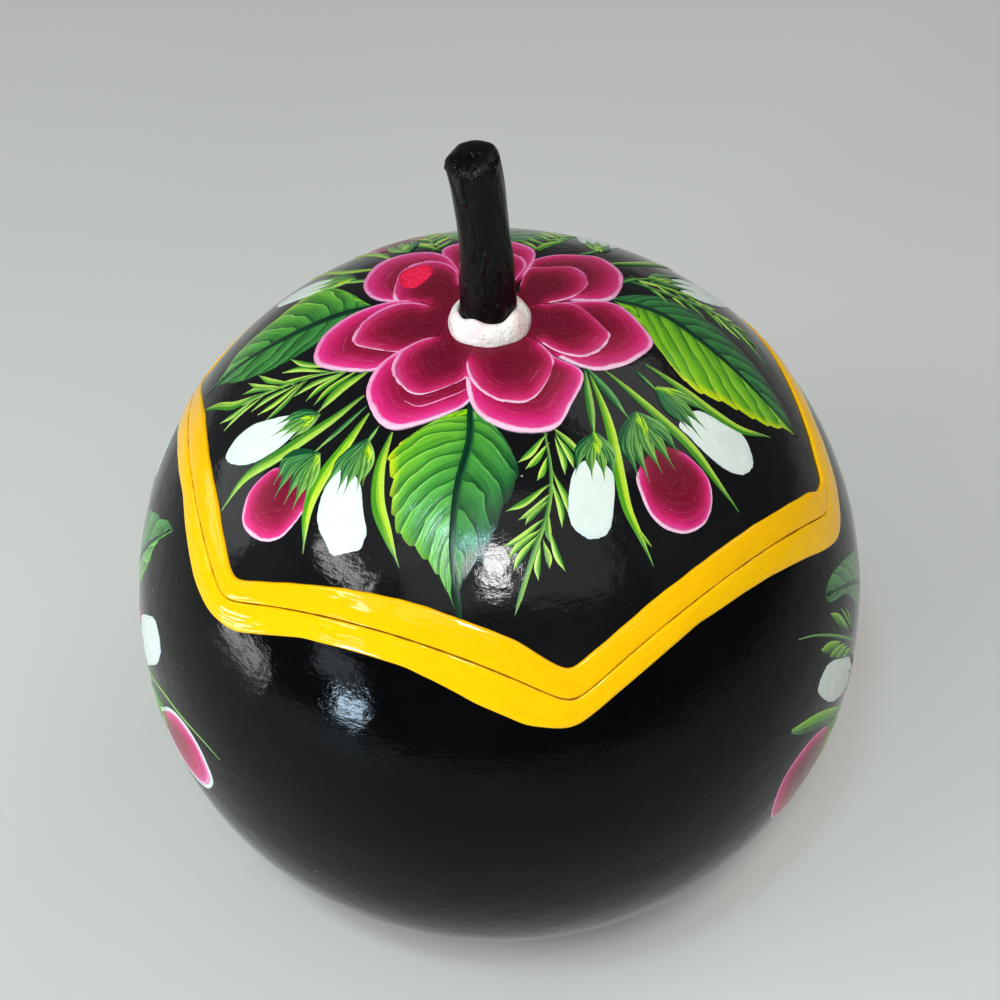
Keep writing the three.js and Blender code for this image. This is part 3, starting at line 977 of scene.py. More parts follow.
PETALS = (
    # outer outline, inner outline, outer tone, inner tone, side of the glow
    (
        ((22, 8.5), (29, 9.5), (33, 6), (36, 1), (37, -2), (35.5, -5), (32, -9), (28, -12), (23, -13.7),
         (18, -12.5), (13, -9.5), (8, -5), (8, 2), (12, 5.5)),
        ((8, 4), (13, 6.3), (18, 7), (22, 5.5), (25, 1.5), (27.3, -2), (26.5, -5), (24, -8.5), (20, -10.5),
         (15, -9.5), (10.5, -6), (7.5, -2)),
        0.55, 0.15, (0.2, -0.9),
    ),
    (
        ((11, 24.5), (14, 27.5), (18, 29.8), (23, 31.3), (27, 32.3), (30, 30), (32.3, 25), (32, 20),
         (30.5, 14.5), (28, 10.5), (24, 9), (18, 8), (12, 6), (8, 12), (9, 18)),
        ((10, 20.5), (14, 22), (18, 23.2), (20.5, 23.5), (23, 21), (23.8, 17), (22, 12.5), (18, 8.5), (12, 6),
         (8, 6), (7.5, 12)),
        0.6, 0.1, (0.7, -0.6),
    ),
    (
        ((-8, 20), (-10, 32), (-9, 35.5), (-6, 37.5), (0, 38.5), (6, 37.5), (9.5, 35), (11.8, 31), (11.5, 25),
         (9.5, 19), (7, 14), (3, 8), (-3, 8), (-7, 16)),
        ((-6, 22), (-5.5, 27), (-3, 30), (2, 31), (6.5, 29), (9, 26), (9.5, 22), (8, 18), (5, 12), (0, 8),
         (-4, 13)),
        0.85, 0.6, (0.5, 0.5),
    ),
    (
        ((-7, 6), (-14, 9), (-22, 12), (-26.5, 16), (-28.5, 22), (-27.5, 29), (-25, 34), (-20, 35.5),
         (-14, 34), (-9.5, 30), (-7, 24), (-5, 14)),
        ((-8, 5), (-14, 8), (-20, 11), (-21.3, 15), (-21, 20), (-20, 25), (-17, 27.5), (-13, 28), (-9, 25),
         (-6.5, 20), (-6, 12), (-6, 7)),
        0.85, 0.35, (-0.6, 0.7),
    ),
    (
        ((-9, 3), (-14, 9), (-20, 11.3), (-27, 11.3), (-33, 9.5), (-37.5, 6), (-39.5, 1), (-39, -3),
         (-35, -6.5), (-30, -9), (-25, -10.3), (-20, -9), (-12, -4)),
        ((-9.5, 4), (-13, 7.5), (-18, 10), (-23, 9.7), (-28, 6.5), (-30.5, 2), (-30, -1), (-26, -4),
         (-21, -6.5), (-17, -6.5), (-11, -3)),
        1.0, 0.1, (-0.8, 0.3),
    ),
    (
        ((-9, -4), (-15, -4.5), (-20, -6.5), (-24.5, -10), (-26.8, -15), (-26.3, -20), (-24, -25),
         (-20.5, -27.2), (-15, -26.8), (-10, -25.5), (-5, -23), (-3, -18), (-4, -8)),
        ((-8, -4), (-14, -4), (-19, -6.5), (-21.3, -11), (-20.5, -15), (-18, -18.5), (-15, -20), (-10, -19),
         (-5, -16.5), (-3, -10), (-4, -6)),
        1.0, 0.2, (-0.9, -0.3),
    ),
    (
        ((-3, -8), (-4.8, -13), (-5, -20), (-3.5, -25), (0, -28.5), (5, -30.5), (11, -30.5), (14.5, -28.5),
         (17, -23.5), (19.8, -17.5), (19.3, -14), (14, -11), (10, -6), (4, -5)),
        ((-2, -7), (-4.8, -12), (-4.2, -17), (-1.5, -21), (2, -23.5), (7, -24), (10, -22), (12.5, -18),
         (13.8, -14), (13.3, -10.5), (10, -6.5), (5, -5), (1, -5.5)),
        0.95, 0.3, (-0.5, -0.8),
    ),
)
RED_DAUB = ((-19, 17), (-20, 22), (-18, 25.5), (-13, 25.5), (-11.5, 22), (-13, 18), (-16, 15))
DAUBED_PETAL = 3


def paint_flower(canvas, move=np.asarray, daub=False):
    """The flower: a dark disc under its heart, then petal over petal, each with an outer and inner part."""
    layer = FIRST_PETAL_LAYER
    heart = move([(0, 0)])[0]
    under = [(12.5 * math.cos(a), 12.5 * math.sin(a)) for a in ring_angles(12)]
    disc(canvas, "petals", move(under), layer - 0.6, None, 0.1, 0.3, root_shade=0, depth=0.5, thickness=0.01)
    for number, (outer, inner, outer_tone, inner_tone, glow) in enumerate(PETALS):
        seed = rng.uniform(0, 1)
        disc(canvas, "petals", move(outer), layer, heart, outer_tone, seed, glow, raggedness=0.003)
        disc(canvas, "petals", move(inner), layer + 1, heart, inner_tone, 1 - seed, glow)
        if daub and number == DAUBED_PETAL:
            disc(canvas, "daub", RED_DAUB, layer + 1.8, count=28, rings=6, raggedness=0.03)
        layer += 2


def paint_front_leaf(canvas):
    rib = [(-4.5, -24), (-5, -32), (-8, -42), (-10, -55), (-10, -68)]
    light = [(-5, -25.5), (-12, -26.8), (-19, -30), (-22.5, -33.5), (-22, -38), (-22.5, -43), (-21.5, -50),
             (-18, -54), (-14, -59), (-11.5, -64), (-10, -68)]
    dark = [(-4, -27), (0, -29.5), (3, -33), (5, -39), (3.5, -44), (1, -48), (-1, -53), (-4, -57), (-8, -62),
            (-10, -68)]
    leaf_half(canvas, rib, light, 14, lambda u, v: 0.78 - 0.1 * u + 0.2 * v,
              lambda u, v: np.clip(1.2 - 2.0 * u, 0, 1) * (0.5 + 0.5 * v) + 0.3 * v**3 * (1 - u), 0.9)
    leaf_half(canvas, rib, dark, 8, lambda u, v: 0.62 - 0.3 * u - 0.4 * v,
              lambda u, v: 0.5 * (1 - u) ** 2 * (1 - v), 0.7)
    midrib(canvas, [(-4.5, -23)] + rib[1:-1] + [(-9.6, -66), (-9, -70)], 1.7,
           tone=0.5, peak=0.2, start=0.7, end=0.4)
    midrib(canvas, [(-9.6, -60), (-9.4, -66), (-9.2, -70), (-8.8, -73)], 1.5, MIDRIB_LAYER + 1,
           tone=0.0, peak=0.6, start=0.1, end=0.2)


def paint_left_leaf(canvas):
    rib = [(-26, 12), (-35, 12.7), (-50, 12.5), (-65, 13), (-71, 12.6)]
    upper = [(-27, 13), (-31, 17), (-35, 24), (-38, 29), (-42, 31), (-46, 30), (-52, 26.5), (-58, 24),
             (-64, 21), (-67.5, 16), (-71, 12.6)]
    lower = [(-27, 11.5), (-30, 9), (-36, 6), (-42, 3.5), (-50, 2.5), (-57, 4), (-62, 6), (-66, 9.5),
             (-71, 12.6)]
    leaf_half(canvas, rib, upper, 10, lambda u, v: 0.5 - 0.1 * u + 0.5 * v,
              lambda u, v: 0.75 * (1 - u) * v, 0.4)
    leaf_half(canvas, rib, lower, 8, lambda u, v: 0.22 + 0.2 * u - 0.1 * v, lambda u, v: 0.04, 0.6)
    midrib(canvas, rib[:-1] + [(-74.5, 12)], 2.2)


def paint_right_leaf(canvas):
    rib = [(28, 11), (40, 10.5), (50, 5), (58, 0), (68, -6), (77, -10)]
    lower = [(29, 10.8), (33, 10), (36, 5), (38.5, -3), (42, -9), (47, -13), (55, -13.5), (63, -14),
             (69, -13), (73, -10.8), (77, -10.2)]
    upper = [(30, 11.5), (36, 16), (44, 19), (52, 17), (60, 12), (68, 4), (74, -4), (77, -9.5)]
    leaf_half(canvas, rib, lower, 13, lambda u, v: 0.6 + 0.4 * v, lambda u, v: 0.9 + 0.1 * v - 0.35 * u,
              0.8, bow=0.05, vein_reach=0.92, vein_sweep=2.3)
    leaf_half(canvas, rib, upper, 12, lambda u, v: 0.16 - 0.12 * v, lambda u, v: 0.06,
              0.4, bow=0.07, vein_reach=0.9, vein_sweep=2.0)
    midrib(canvas, rib[:-1] + [(78, -10.5)], 1.9, tone=0.1, peak=0.3, start=0.4)


def paint_back_leaf(canvas):
    """Guessed, because the stem and the lid's far side hide it."""
    rib = [(3, 36), (4, 46), (5, 58), (6, 70)]
    left = [(2.5, 37), (-4, 40), (-9, 46), (-10, 52), (-7, 60), (0, 67), (6, 70)]
    right = [(3.5, 37), (10, 39), (16, 44), (18, 51), (15, 60), (10, 67), (6, 70)]
    leaf_half(canvas, rib, left, 8, lambda u, v: 0.5 - 0.2 * u + 0.3 * v, lambda u, v: 0.4 * (1 - u) * v)
    leaf_half(canvas, rib, right, 8, lambda u, v: 0.3 - 0.2 * u, lambda u, v: 0.05)
    midrib(canvas, rib, 1.8)


def paint_lid_buds(canvas):
    """White and pink buds, then the green cups on them."""
    # Outline and root
    white_buds = (
        (((-64, -17), (-61, -14), (-56, -12.8), (-50, -14), (-45, -15.5), (-42, -18), (-45, -21), (-50, -23),
          (-56, -23.3), (-62, -20.5)), (-38, -18)),
        (((-33.5, -33.5), (-37, -36), (-39.5, -41), (-39.9, -44.5), (-38.2, -49.4), (-36.9, -51.9),
          (-33.5, -52.1), (-30.4, -52.0), (-29.3, -50.2), (-28.6, -48.4), (-29, -44), (-29.2, -38),
          (-31, -35)), (-27, -28)),
        (((17, -39), (15.5, -46), (16, -50.5), (18.5, -53), (21, -53.5), (24, -52), (25.3, -48), (25.8, -41),
          (25, -38), (21, -36)), (22, -30)),
        (((41.5, -24), (46, -19), (52, -19.5), (58, -20.5), (60.5, -24), (61, -28), (58, -31.5), (53, -31.8),
          (48, -29.5), (44, -26.5)), (36, -15.5)),
        (((-38, 30.5), (-42, 30), (-46, 31.2), (-51, 34), (-54.5, 37.3), (-54, 40), (-48, 41), (-42, 38.5),
          (-38, 35)), (-33, 30)),
        (((46, 31), (50, 37), (56, 42), (62, 45), (65, 41), (63, 34), (57, 28), (50, 26)), (41, 27)),
        (((25, 44), (24, 51), (26, 58), (30, 61), (34, 58), (35, 51), (32, 45)), (28, 38)),
    )
    for points, root in white_buds:
        disc(canvas, "white_buds", points, BUD_LAYER, root, raggedness=0.012, root_shade=0, thickness=0.06,
             centre_share=0.55)
    # Outline, root, tone, side of the glow, how dark the heart is, and how wide the dark part is
    pink_buds = (
        (((-60, -37), (-58, -31), (-53, -28), (-48, -28), (-43, -33), (-42.5, -38), (-44, -41), (-50, -44.3),
          (-56, -42.5)), (-37.5, -29), 0.9, (-1.0, -0.3), 0.42, 2.1),
        (((31, -38), (31.5, -42), (34, -47), (38, -49.5), (43, -49.3), (47.5, -46), (49.3, -41),
          (48.5, -36), (45, -32.5), (40, -30.5), (35, -32)), (30, -24), 0.9, (-1.3, -0.6), 0.1, 1.25),
        (((-24, 44), (-29, 50), (-30, 58), (-25, 62), (-18, 61), (-15, 54), (-17, 47)), (-18, 40), 0.8,
         (-0.3, 0.6), 0.2, 1.3),
    )
    for points, root, tone, glow, heart, crowding in pink_buds:
        disc(canvas, "pink_buds", points, BUD_LAYER, root, tone, rng.uniform(0, 1), glow,
             raggedness=0.004, root_shade=0.55, heart=heart, crowding=crowding)
    # Root, tips of the teeth, width of a tooth, which tooth is bright, and the cup's widest places
    cups = (
        ((-38, -18), ((-49, -16.3), (-48, -17.8), (-50, -18.8), (-48, -20.3), (-45, -21.8)), 3.0, 0.8,
         ((-43, -16), (-43, -17), (-43, -18), (-42.5, -19), (-41.5, -20))),
        ((-38.5, -28), ((-50, -31), (-49.8, -34), (-47.5, -36.5), (-45.5, -38.5), (-42.5, -38)), 4.2, 0.95,
         ((-46, -26.5), (-45, -28.5), (-43, -30.5), (-41.5, -32), (-40, -31.5))),
        ((-27, -28), ((-37.5, -36.5), (-34.5, -38.3), (-33, -39), (-30, -39), (-28.6, -38)), 3.4, 0.9,
         ((-32.5, -31), (-31.5, -32.5), (-30, -33.5), (-28.5, -34), (-27, -33))),
        ((22, -30), ((17.3, -39.5), (20.8, -40.5), (23.6, -40.5), (25.7, -39.5)), 3.3, 0.55,
         ((18.7, -34), (20.6, -35), (23, -35), (24.8, -34.2))),
        ((31, -23.5), ((31, -38.5), (33.5, -39), (36.5, -36.5), (39.5, -35), (41, -31.5)), 4.2, 0.5,
         ((28.5, -31), (30.5, -31), (33, -30), (35.3, -29), (37, -27))),
        ((36.5, -15.5), ((49, -18.5), (48, -23.2), (46.5, -25.8), (43.5, -24.5)), 3.6, 0.05,
         ((42.5, -16.3), (42, -18.5), (41, -20), (39, -20))),
        ((-31, 28.5), ((-43, 31.5), (-43, 34), (-41, 37)), 3.2, 0.2, ((-36, 29), (-36, 31.5), (-35, 33.5))),
        ((39, 26), ((52, 30), (52, 34), (49, 37)), 3.4, 0.4, ((45, 27), (45, 30), (43, 31))),
        ((28, 37), ((26, 48), (29, 49), (32, 48)), 3.2, 0.4, ((26.5, 42), (28.5, 43), (30.5, 42))),
        ((-18, 38), ((-25, 50), (-21, 51), (-18, 50)), 4.0, 0.3, ((-22, 43), (-20, 45), (-17.5, 44))),
    )
    for root, teeth, width, bright, body in cups:
        calyx(canvas, root, teeth, body, LID_CUP_LAYER, width, bright)


def paint_lid_blades(canvas):
    """The buds' stalks and the long blades between them, each with a thin light stroke at its tip."""
    # Path, width, tone and warmth
    blades = (
        (((-26.5, -10), (-33, -13), (-38, -17)), 2.2, 0.6, 0.6),
        (((-27.5, -16.5), (-36, -21), (-48, -24.5), (-58, -26), (-65, -30)), 2.8, 0.6, 0.5),
        (((-27, -19.5), (-33, -23.5), (-39, -27)), 1.0, 0.15, 0.0),
        (((-26.5, -21.5), (-32, -28), (-38, -34), (-42, -40), (-44, -48)), 2.9, 0.75, 0.85),
        (((-24.5, -25.5), (-27.5, -29)), 0.9, 0.2, 0.0),
        (((-21.5, -27.5), (-24.5, -35), (-25.5, -43), (-24, -50), (-22.3, -56)), 2.9, 0.65, 0.8),
        (((20.5, -14), (21, -22), (21.7, -30)), 1.7, 0.35, 0.3),
        (((21.5, -15), (25, -27), (27, -39), (28.5, -46), (31, -51), (34, -56.5)), 2.4, 0.7, 0.9),
        (((20.5, -13), (25, -19), (29, -24.5)), 1.9, 0.1, 0.0),
        (((25, -13.5), (35, -22), (44, -29), (50, -35), (55.5, -40)), 2.3, 0.6, 0.6),
        (((32, -12), (36.5, -16.5)), 0.9, 0.1, 0.0),
        (((34.5, -9.5), (43, -14), (51, -18), (58, -19.5), (66, -17.5)), 2.4, 0.6, 0.6),
        (((-73, 5), (-68, 2), (-62, -2.5), (-55, -4)), 2.2, 0.6, 0.5),
        (((-26, 24), (-31, 27), (-36, 30)), 1.3, 0.3, 0.2),
        (((-25, 30), (-34, 36), (-40, 44), (-46, 50)), 2.0, 0.5, 0.6),
        (((-22, 34), (-27, 44), (-34, 54)), 2.0, 0.5, 0.5),
        (((30, 18), (35, 23), (40, 27)), 1.0, 0.2, 0.1),
        (((28, 28), (38, 36), (46, 46), (52, 56)), 2.2, 0.5, 0.5),
        (((22, 31), (26, 35), (28, 38)), 1.0, 0.2, 0.1),
        (((31, 22), (45, 21), (58, 22), (68, 18)), 1.6, 0.25, 0.2),
    )
    for path, width, tone, warmth in blades:
        stroke(canvas, path, 1.06 * width, BLADE_LAYER, tone, warmth, peak=0.58, start=0.12, end=0.0)
        end = np.asarray(path[-1], float)
        ahead = (end - path[-2]) / np.hypot(*(end - path[-2]))
        stroke(canvas, [end - 5 * ahead, end - 2 * ahead, end + 1.6 * ahead], 0.5, BLADE_TIP_LAYER, 0.7,
               0.1 * warmth, peak=0.4, start=0.1, end=0.0, thickness=0.03)
    stroke(canvas, [(30, -49.5), (32, -51.8), (34.3, -53.8)], 1.0, BLADE_LAYER, 0.6, 0.7, peak=0.4)


def paint_lid_sprigs(canvas):
    """Feathery sprigs. Each has a stalk, then its leaflets, each from foot to tip."""
    sprigs = (
        (
            ((-30, -8.5), (-38, -6.5), (-50, -5), (-60, -3.5), (-68, 2)),
            (((-40, -6), (-48, -4)), ((-38, -5.5), (-48, -0.8)), ((-36, -5), (-46, 2.7)),
             ((-50, -5), (-59.5, -0.5)), ((-49, -5), (-58, 2.3)), ((-46, -5.5), (-55, 3)),
             ((-57, -5), (-66.5, -5.3)), ((-55, -5.8), (-65, -8.8)), ((-46, -7), (-56.5, -8.3)),
             ((-44, -7.5), (-54.5, -10.5)), ((-43, -8), (-52.3, -13.5)), ((-34, -8.5), (-44.5, -10.2)),
             ((-33, -9), (-41.5, -13)), ((-30, -9.5), (-39.5, -15))),
        ),
        (
            ((11, -30.5), (12, -40), (11, -48), (8, -56), (3, -69.5)),
            (((10.5, -32), (5, -37.5)), ((11, -34), (6.5, -39)), ((11, -37), (9, -41.5)),
             ((10.5, -43), (2, -48)), ((11, -45), (4.5, -50)), ((10.5, -46.5), (6, -51)),
             ((9, -50.5), (1, -55.5)), ((8.5, -52.5), (2, -58)), ((8, -54), (3, -60.5)),
             ((13.5, -30), (18.5, -36)), ((14, -32), (17, -38.5)), ((13.5, -33), (15, -40)),
             ((13, -41), (15.5, -48.5)), ((12.5, -43), (14, -51.5)), ((11, -49), (11.5, -55)),
             ((11.5, -53), (14.5, -60.5)), ((10, -55), (11, -60)), ((9, -56), (8.5, -62.5))),
        ),
        (
            ((33, 23), (40, 24.8), (48, 25), (55, 23.5), (62, 19), (71, 11)),
            tuple(((x, 24.5 - 0.011 * (x - 44) ** 2), (x + 7, 24.5 - 0.011 * (x - 44) ** 2 + side * 4.5 - 3))
                  for x in (36, 41, 46, 51, 56, 61) for side in (1, -1)),
        ),
        (
            ((-12, 36), (-13, 44), (-15, 52), (-19, 62)),
            tuple(((-11.5 - 0.012 * (y - 34) ** 2, y), (-12.5 - 0.012 * (y - 34) ** 2 + side * 5, y + 6.5))
                  for y in (36, 40, 44, 48, 52, 56) for side in (1, -1)),
        ),
        (
            ((13, 32), (17, 38), (20, 46), (21, 56)),
            tuple(((12 + 0.45 * (y - 32), y), (12 + 0.45 * (y - 32) + side * 5 + 1, y + 6))
                  for y in (33, 37, 41, 45, 49) for side in (1, -1)),
        ),
    )
    for stalk, leaflets in sprigs:
        stroke(canvas, stalk, 1.15, SPRIG_LAYER, 0.35, 0.25, peak=0.85, start=0.4, end=0.0)
        for foot, tip in leaflets:
            foot = np.asarray(foot, float)
            tip = np.asarray(tip, float)
            belly = foot + 0.55 * (tip - foot) + 0.06 * turned_left(tip - foot) * rng.choice((-1, 1))
            tone = rng.uniform(0.7, 1.0)
            joint = foot - 0.22 * (tip - foot)
            stroke(canvas, [joint, foot, belly, tip], 1.4, LEAFLET_LAYER + rng.uniform(0, 1.5), tone,
                   rng.uniform(0.1, 0.5), peak=0.66, start=0.05, end=0.0, fullness=1.3,
                   bright_left=bool(rng.integers(2)))


def paint_lid(canvas):
    paint_flower(canvas, daub=True)
    thin_line = [(-18.5, -20.5), (-15, -22.5), (-8, -20.8), (-5, -19.5)]
    stroke(canvas, thin_line, 0.3, HEART_LAYER, 0.9, start=0.2, end=0.2, thickness=0.02, kind="pink_buds")
    paint_front_leaf(canvas)
    paint_left_leaf(canvas)
    paint_right_leaf(canvas)
    paint_back_leaf(canvas)
    paint_lid_buds(canvas)
    paint_lid_blades(canvas)
    paint_lid_sprigs(canvas)


# The bouquets on the bowl's sides. The photograph shows only their outer parts, so their middles are guessed.


def shaped_leaf(canvas, base, tip, width, light_left=True, tone=0.8, warmth=0.5):
    """A leaf of the usual shape between two points."""
    base = np.asarray(base, float)
    along = np.asarray(tip, float) - base
    left = turned_left(along) / np.hypot(*along)
    shares = (0.0, 0.1, 0.25, 0.45, 0.65, 0.82, 0.93, 1.0)
    widths = (0.0, 0.26, 0.44, 0.5, 0.42, 0.27, 0.13, 0.0)
    rib = [base + along * s + left * 0.03 * width * math.sin(2.5 * s) for s in (0, 0.3, 0.65, 1)]
    for side in (1, -1):
        edge = [base + along * s + left * side * width * w for s, w in zip(shares, widths)]
        light = (side == 1) == light_left
        half_tone = tone if light else tone * 0.4
        half_warmth = warmth if light else 0.08
        leaf_half(canvas, rib, edge, 8, lambda u, v, t=half_tone: t * (0.75 + 0.25 * v) - 0.2 * u,
                  lambda u, v, w=half_warmth: w * (1 - u) * (0.4 + 0.6 * v), 0.7)
    midrib(canvas, rib, 1.8, end=0.05)


def shaped_bud(canvas, kind, root, end, width, tone=0.8, teeth=4):
    """A bud of the usual shape, with its green cup."""
    root = np.asarray(root, float)
    along = np.asarray(end, float) - root
    left = turned_left(along) / np.hypot(*along)
    shares = (0.30, 0.42, 0.62, 0.82, 0.95, 1.0, 0.95, 0.82, 0.62, 0.42)
    widths = (0.0, 0.36, 0.49, 0.46, 0.28, 0.0, -0.28, -0.46, -0.49, -0.36)
    points = [root + along * s + left * width * w for s, w in zip(shares, widths)]
    root_shade, raggedness = (0.5, 0.004) if kind == "pink_buds" else (0, 0.012)
    disc(canvas, kind, points, BUD_LAYER, root, tone, rng.uniform(0, 1), root_shade=root_shade,
         raggedness=raggedness, thickness=0.04)
    tips = []
    body = []
    for i in range(teeth):
        spread = (i / (teeth - 1) - 0.5) * 0.9
        reach = 0.56 - 0.25 * abs(spread)
        tips.append(root + along * reach + left * width * spread)
        body.append(root + along * 0.24 + left * width * spread * 0.8)
    calyx(canvas, root, tips, body, SIDE_CUP_LAYER, width * 0.38, 0.6)


def paint_sprig(canvas, root, tip, count=6):
    """A stalk between two points, with pairs of leaflets."""
    root = np.asarray(root, float)
    along = np.asarray(tip, float) - root
    ahead = along / np.hypot(*along)
    left = turned_left(along) / np.hypot(*along)
    stroke(canvas, [root, root + 0.5 * along + left, tip], 1.1, SPRIG_LAYER, 0.35, 0.2, peak=0.8,
           start=0.4, end=0)
    for i in range(count):
        foot = root + along * (0.18 + 0.68 * i / count) + left * 0.5
        for side in (1, -1):
            end = foot + ahead * 7.0 + left * side * 4.0
            middle = foot + 0.5 * (end - foot) + ahead * 0.4
            stroke(canvas, [foot, middle, end], 1.5, LEAFLET_LAYER + 0.3 * i, rng.uniform(0.6, 1.0),
                   rng.uniform(0.2, 0.6), peak=0.6, start=0.1, end=0.0, bright_left=side > 0)


def paint_side(canvas, tilt):
    """One bouquet on a side of the bowl, with its flower turned by a tilt in degrees."""
    turn = math.radians(tilt)

    def move(points):
        points = np.asarray(points, float) * SIDE_SCALE
        x, y = points[:, 0], points[:, 1]
        across = x * math.sin(turn) + y * math.cos(turn) - SIDE_SHIFT
        return np.stack([x * math.cos(turn) - y * math.sin(turn), across], -1)

    paint_flower(canvas, move)
    heart = [(2.2 * math.cos(a), 2.2 * math.sin(a) - SIDE_SHIFT) for a in ring_angles(10)]
    disc(canvas, "white_buds", heart, HEART_LAYER, (0, 2.2 - SIDE_SHIFT), count=24, rings=6, root_shade=0,
         thickness=0.25)
    for a in ring_angles(11):
        dot = [(4.2 * math.cos(a) + 0.45 * math.cos(b), 4.2 * math.sin(a) + 0.45 * math.sin(b) - SIDE_SHIFT)
               for b in ring_angles(6)]
        disc(canvas, "white_buds", dot, HEART_LAYER, dot[0], count=10, rings=3, root_shade=0,
             thickness=0.15)
    shaped_leaf(canvas, (-24, 14), (-52, 38), 17)
    shaped_leaf(canvas, (22, -16), (48, -40), 16)
    shaped_leaf(canvas, (-8, -25), (-18, -56), 16, light_left=False, tone=0.7, warmth=0.4)
    shaped_bud(canvas, "white_buds", (26, -8), (46, -18), 10)
    shaped_bud(canvas, "white_buds", (-10, 27), (-18, 54), 10)
    shaped_bud(canvas, "pink_buds", (-29, 3), (-62, 10), 17, tone=0.5)
    shaped_bud(canvas, "white_buds", (-25, -14), (-50, -26), 10)
    shaped_bud(canvas, "pink_buds", (6, -28), (16, -58), 16)
    blades = (
        (((-16, 22), (-32, 44), (-40, 58)), 2.2, 0.6, 0.6),
        (((-27, 8), (-44, 22), (-64, 26)), 2.4, 0.6, 0.5),
        (((-28, -6), (-46, -10), (-64, -8)), 2.4, 0.6, 0.5),
        (((-18, -22), (-34, -38), (-40, -54)), 2.4, 0.6, 0.7),
        (((26, -3), (38, -8), (50, -14)), 2.4, 0.6, 0.6),
        (((14, -26), (30, -40), (36, -56)), 2.4, 0.6, 0.7),
        (((0, -28), (0, -44), (3, -58)), 2.2, 0.5, 0.4),
    )
    for path, width, tone, warmth in blades:
        stroke(canvas, path, width, BLADE_LAYER, tone, warmth, peak=0.62, start=0.12, end=0.0)
    sprigs = (((-8, 26), (-20, 50)), ((-20, 18), (-36, 32)), ((24, -10), (60, -24)), ((-6, -28), (-4, -56)))
    for root, tip in sprigs:
        paint_sprig(canvas, root, tip)


def edge_bud(canvas, kind, points, root, teeth, body, white_rim=False):
    """A bud near the edge of the photograph's view, with its measured outline."""
    if white_rim:
        disc(canvas, "white_buds", points, BUD_LAYER - 1, root, root_shade=0, thickness=0.02)
        centre = np.mean(points, axis=0)
        points = [centre + 0.91 * (np.asarray(point) - centre) for point in points]
    if kind == "pink_buds":
        heart = 0.55 if white_rim else 0.2
        disc(canvas, kind, points, BUD_LAYER, root, 0.7, 0.4, root_shade=0.3, heart=heart, crowding=1.4)
    else:
        disc(canvas, kind, points, BUD_LAYER, root, root_shade=0, thickness=0.06, raggedness=0.015)
    calyx(canvas, root, teeth, body, SIDE_CUP_LAYER, 3.6, 0.6)


def paint_left_edge(canvas):
    """What the photograph shows of the left bouquet: a leaf tip, a white bud, a thin blade and a pink bud."""
    rib = [(6, 24), (12, 36), (18, 48), (23.8, 58.7)]
    right = [(8, 23), (14, 27), (18, 33), (19.5, 38), (20.8, 43), (20, 46.5), (20.6, 50), (21.5, 54),
             (23.8, 58.7)]
    left = [(4, 25), (1, 33), (3, 41), (9, 48.5), (15.5, 53.5), (19.5, 57), (23.8, 58.7)]
    leaf_half(canvas, rib, right, 5, lambda u, v: 0.85 + 0.1 * v, lambda u, v: 0.1, 0.9)
    leaf_half(canvas, rib, left, 5, lambda u, v: 0.3 + 0.1 * v, lambda u, v: 0.05, 0.8)
    midrib(canvas, rib, 1.4, tone=0.3, peak=0.3, end=0.05)
    white = ((22, 13), (21, 20), (24, 27), (29.9, 33.5), (33.9, 36.5), (38, 35.1), (40.5, 32), (39.4, 26.3),
             (34.7, 20.4), (27, 12))
    edge_bud(canvas, "white_buds", white, (16, 5), ((23, 24), (26, 20), (30, 16)),
             ((18, 14), (20, 12), (22, 9)))
    pink = ((40, 9), (43.6, 14.5), (48, 19), (53.1, 21.3), (58.7, 21.1), (63, 18.7), (66.3, 14), (66.8, 10),
            (64, 5), (59.8, 2), (52, 0.5), (44, 3))
    edge_bud(canvas, "pink_buds", pink, (29, 7), ((46, 15), (46, 10), (45, 6)), ((37, 12), (38, 9), (37, 5)),
             white_rim=True)
    blade = [(26, 12), (33.7, 15.9), (45.2, 20.8), (55.9, 22.7), (63.6, 23.2), (70, 22.4)]
    stroke(canvas, blade, 1.1, BLADE_LAYER, 0.5, 0.0, peak=0.4, start=0.2, end=0.0)


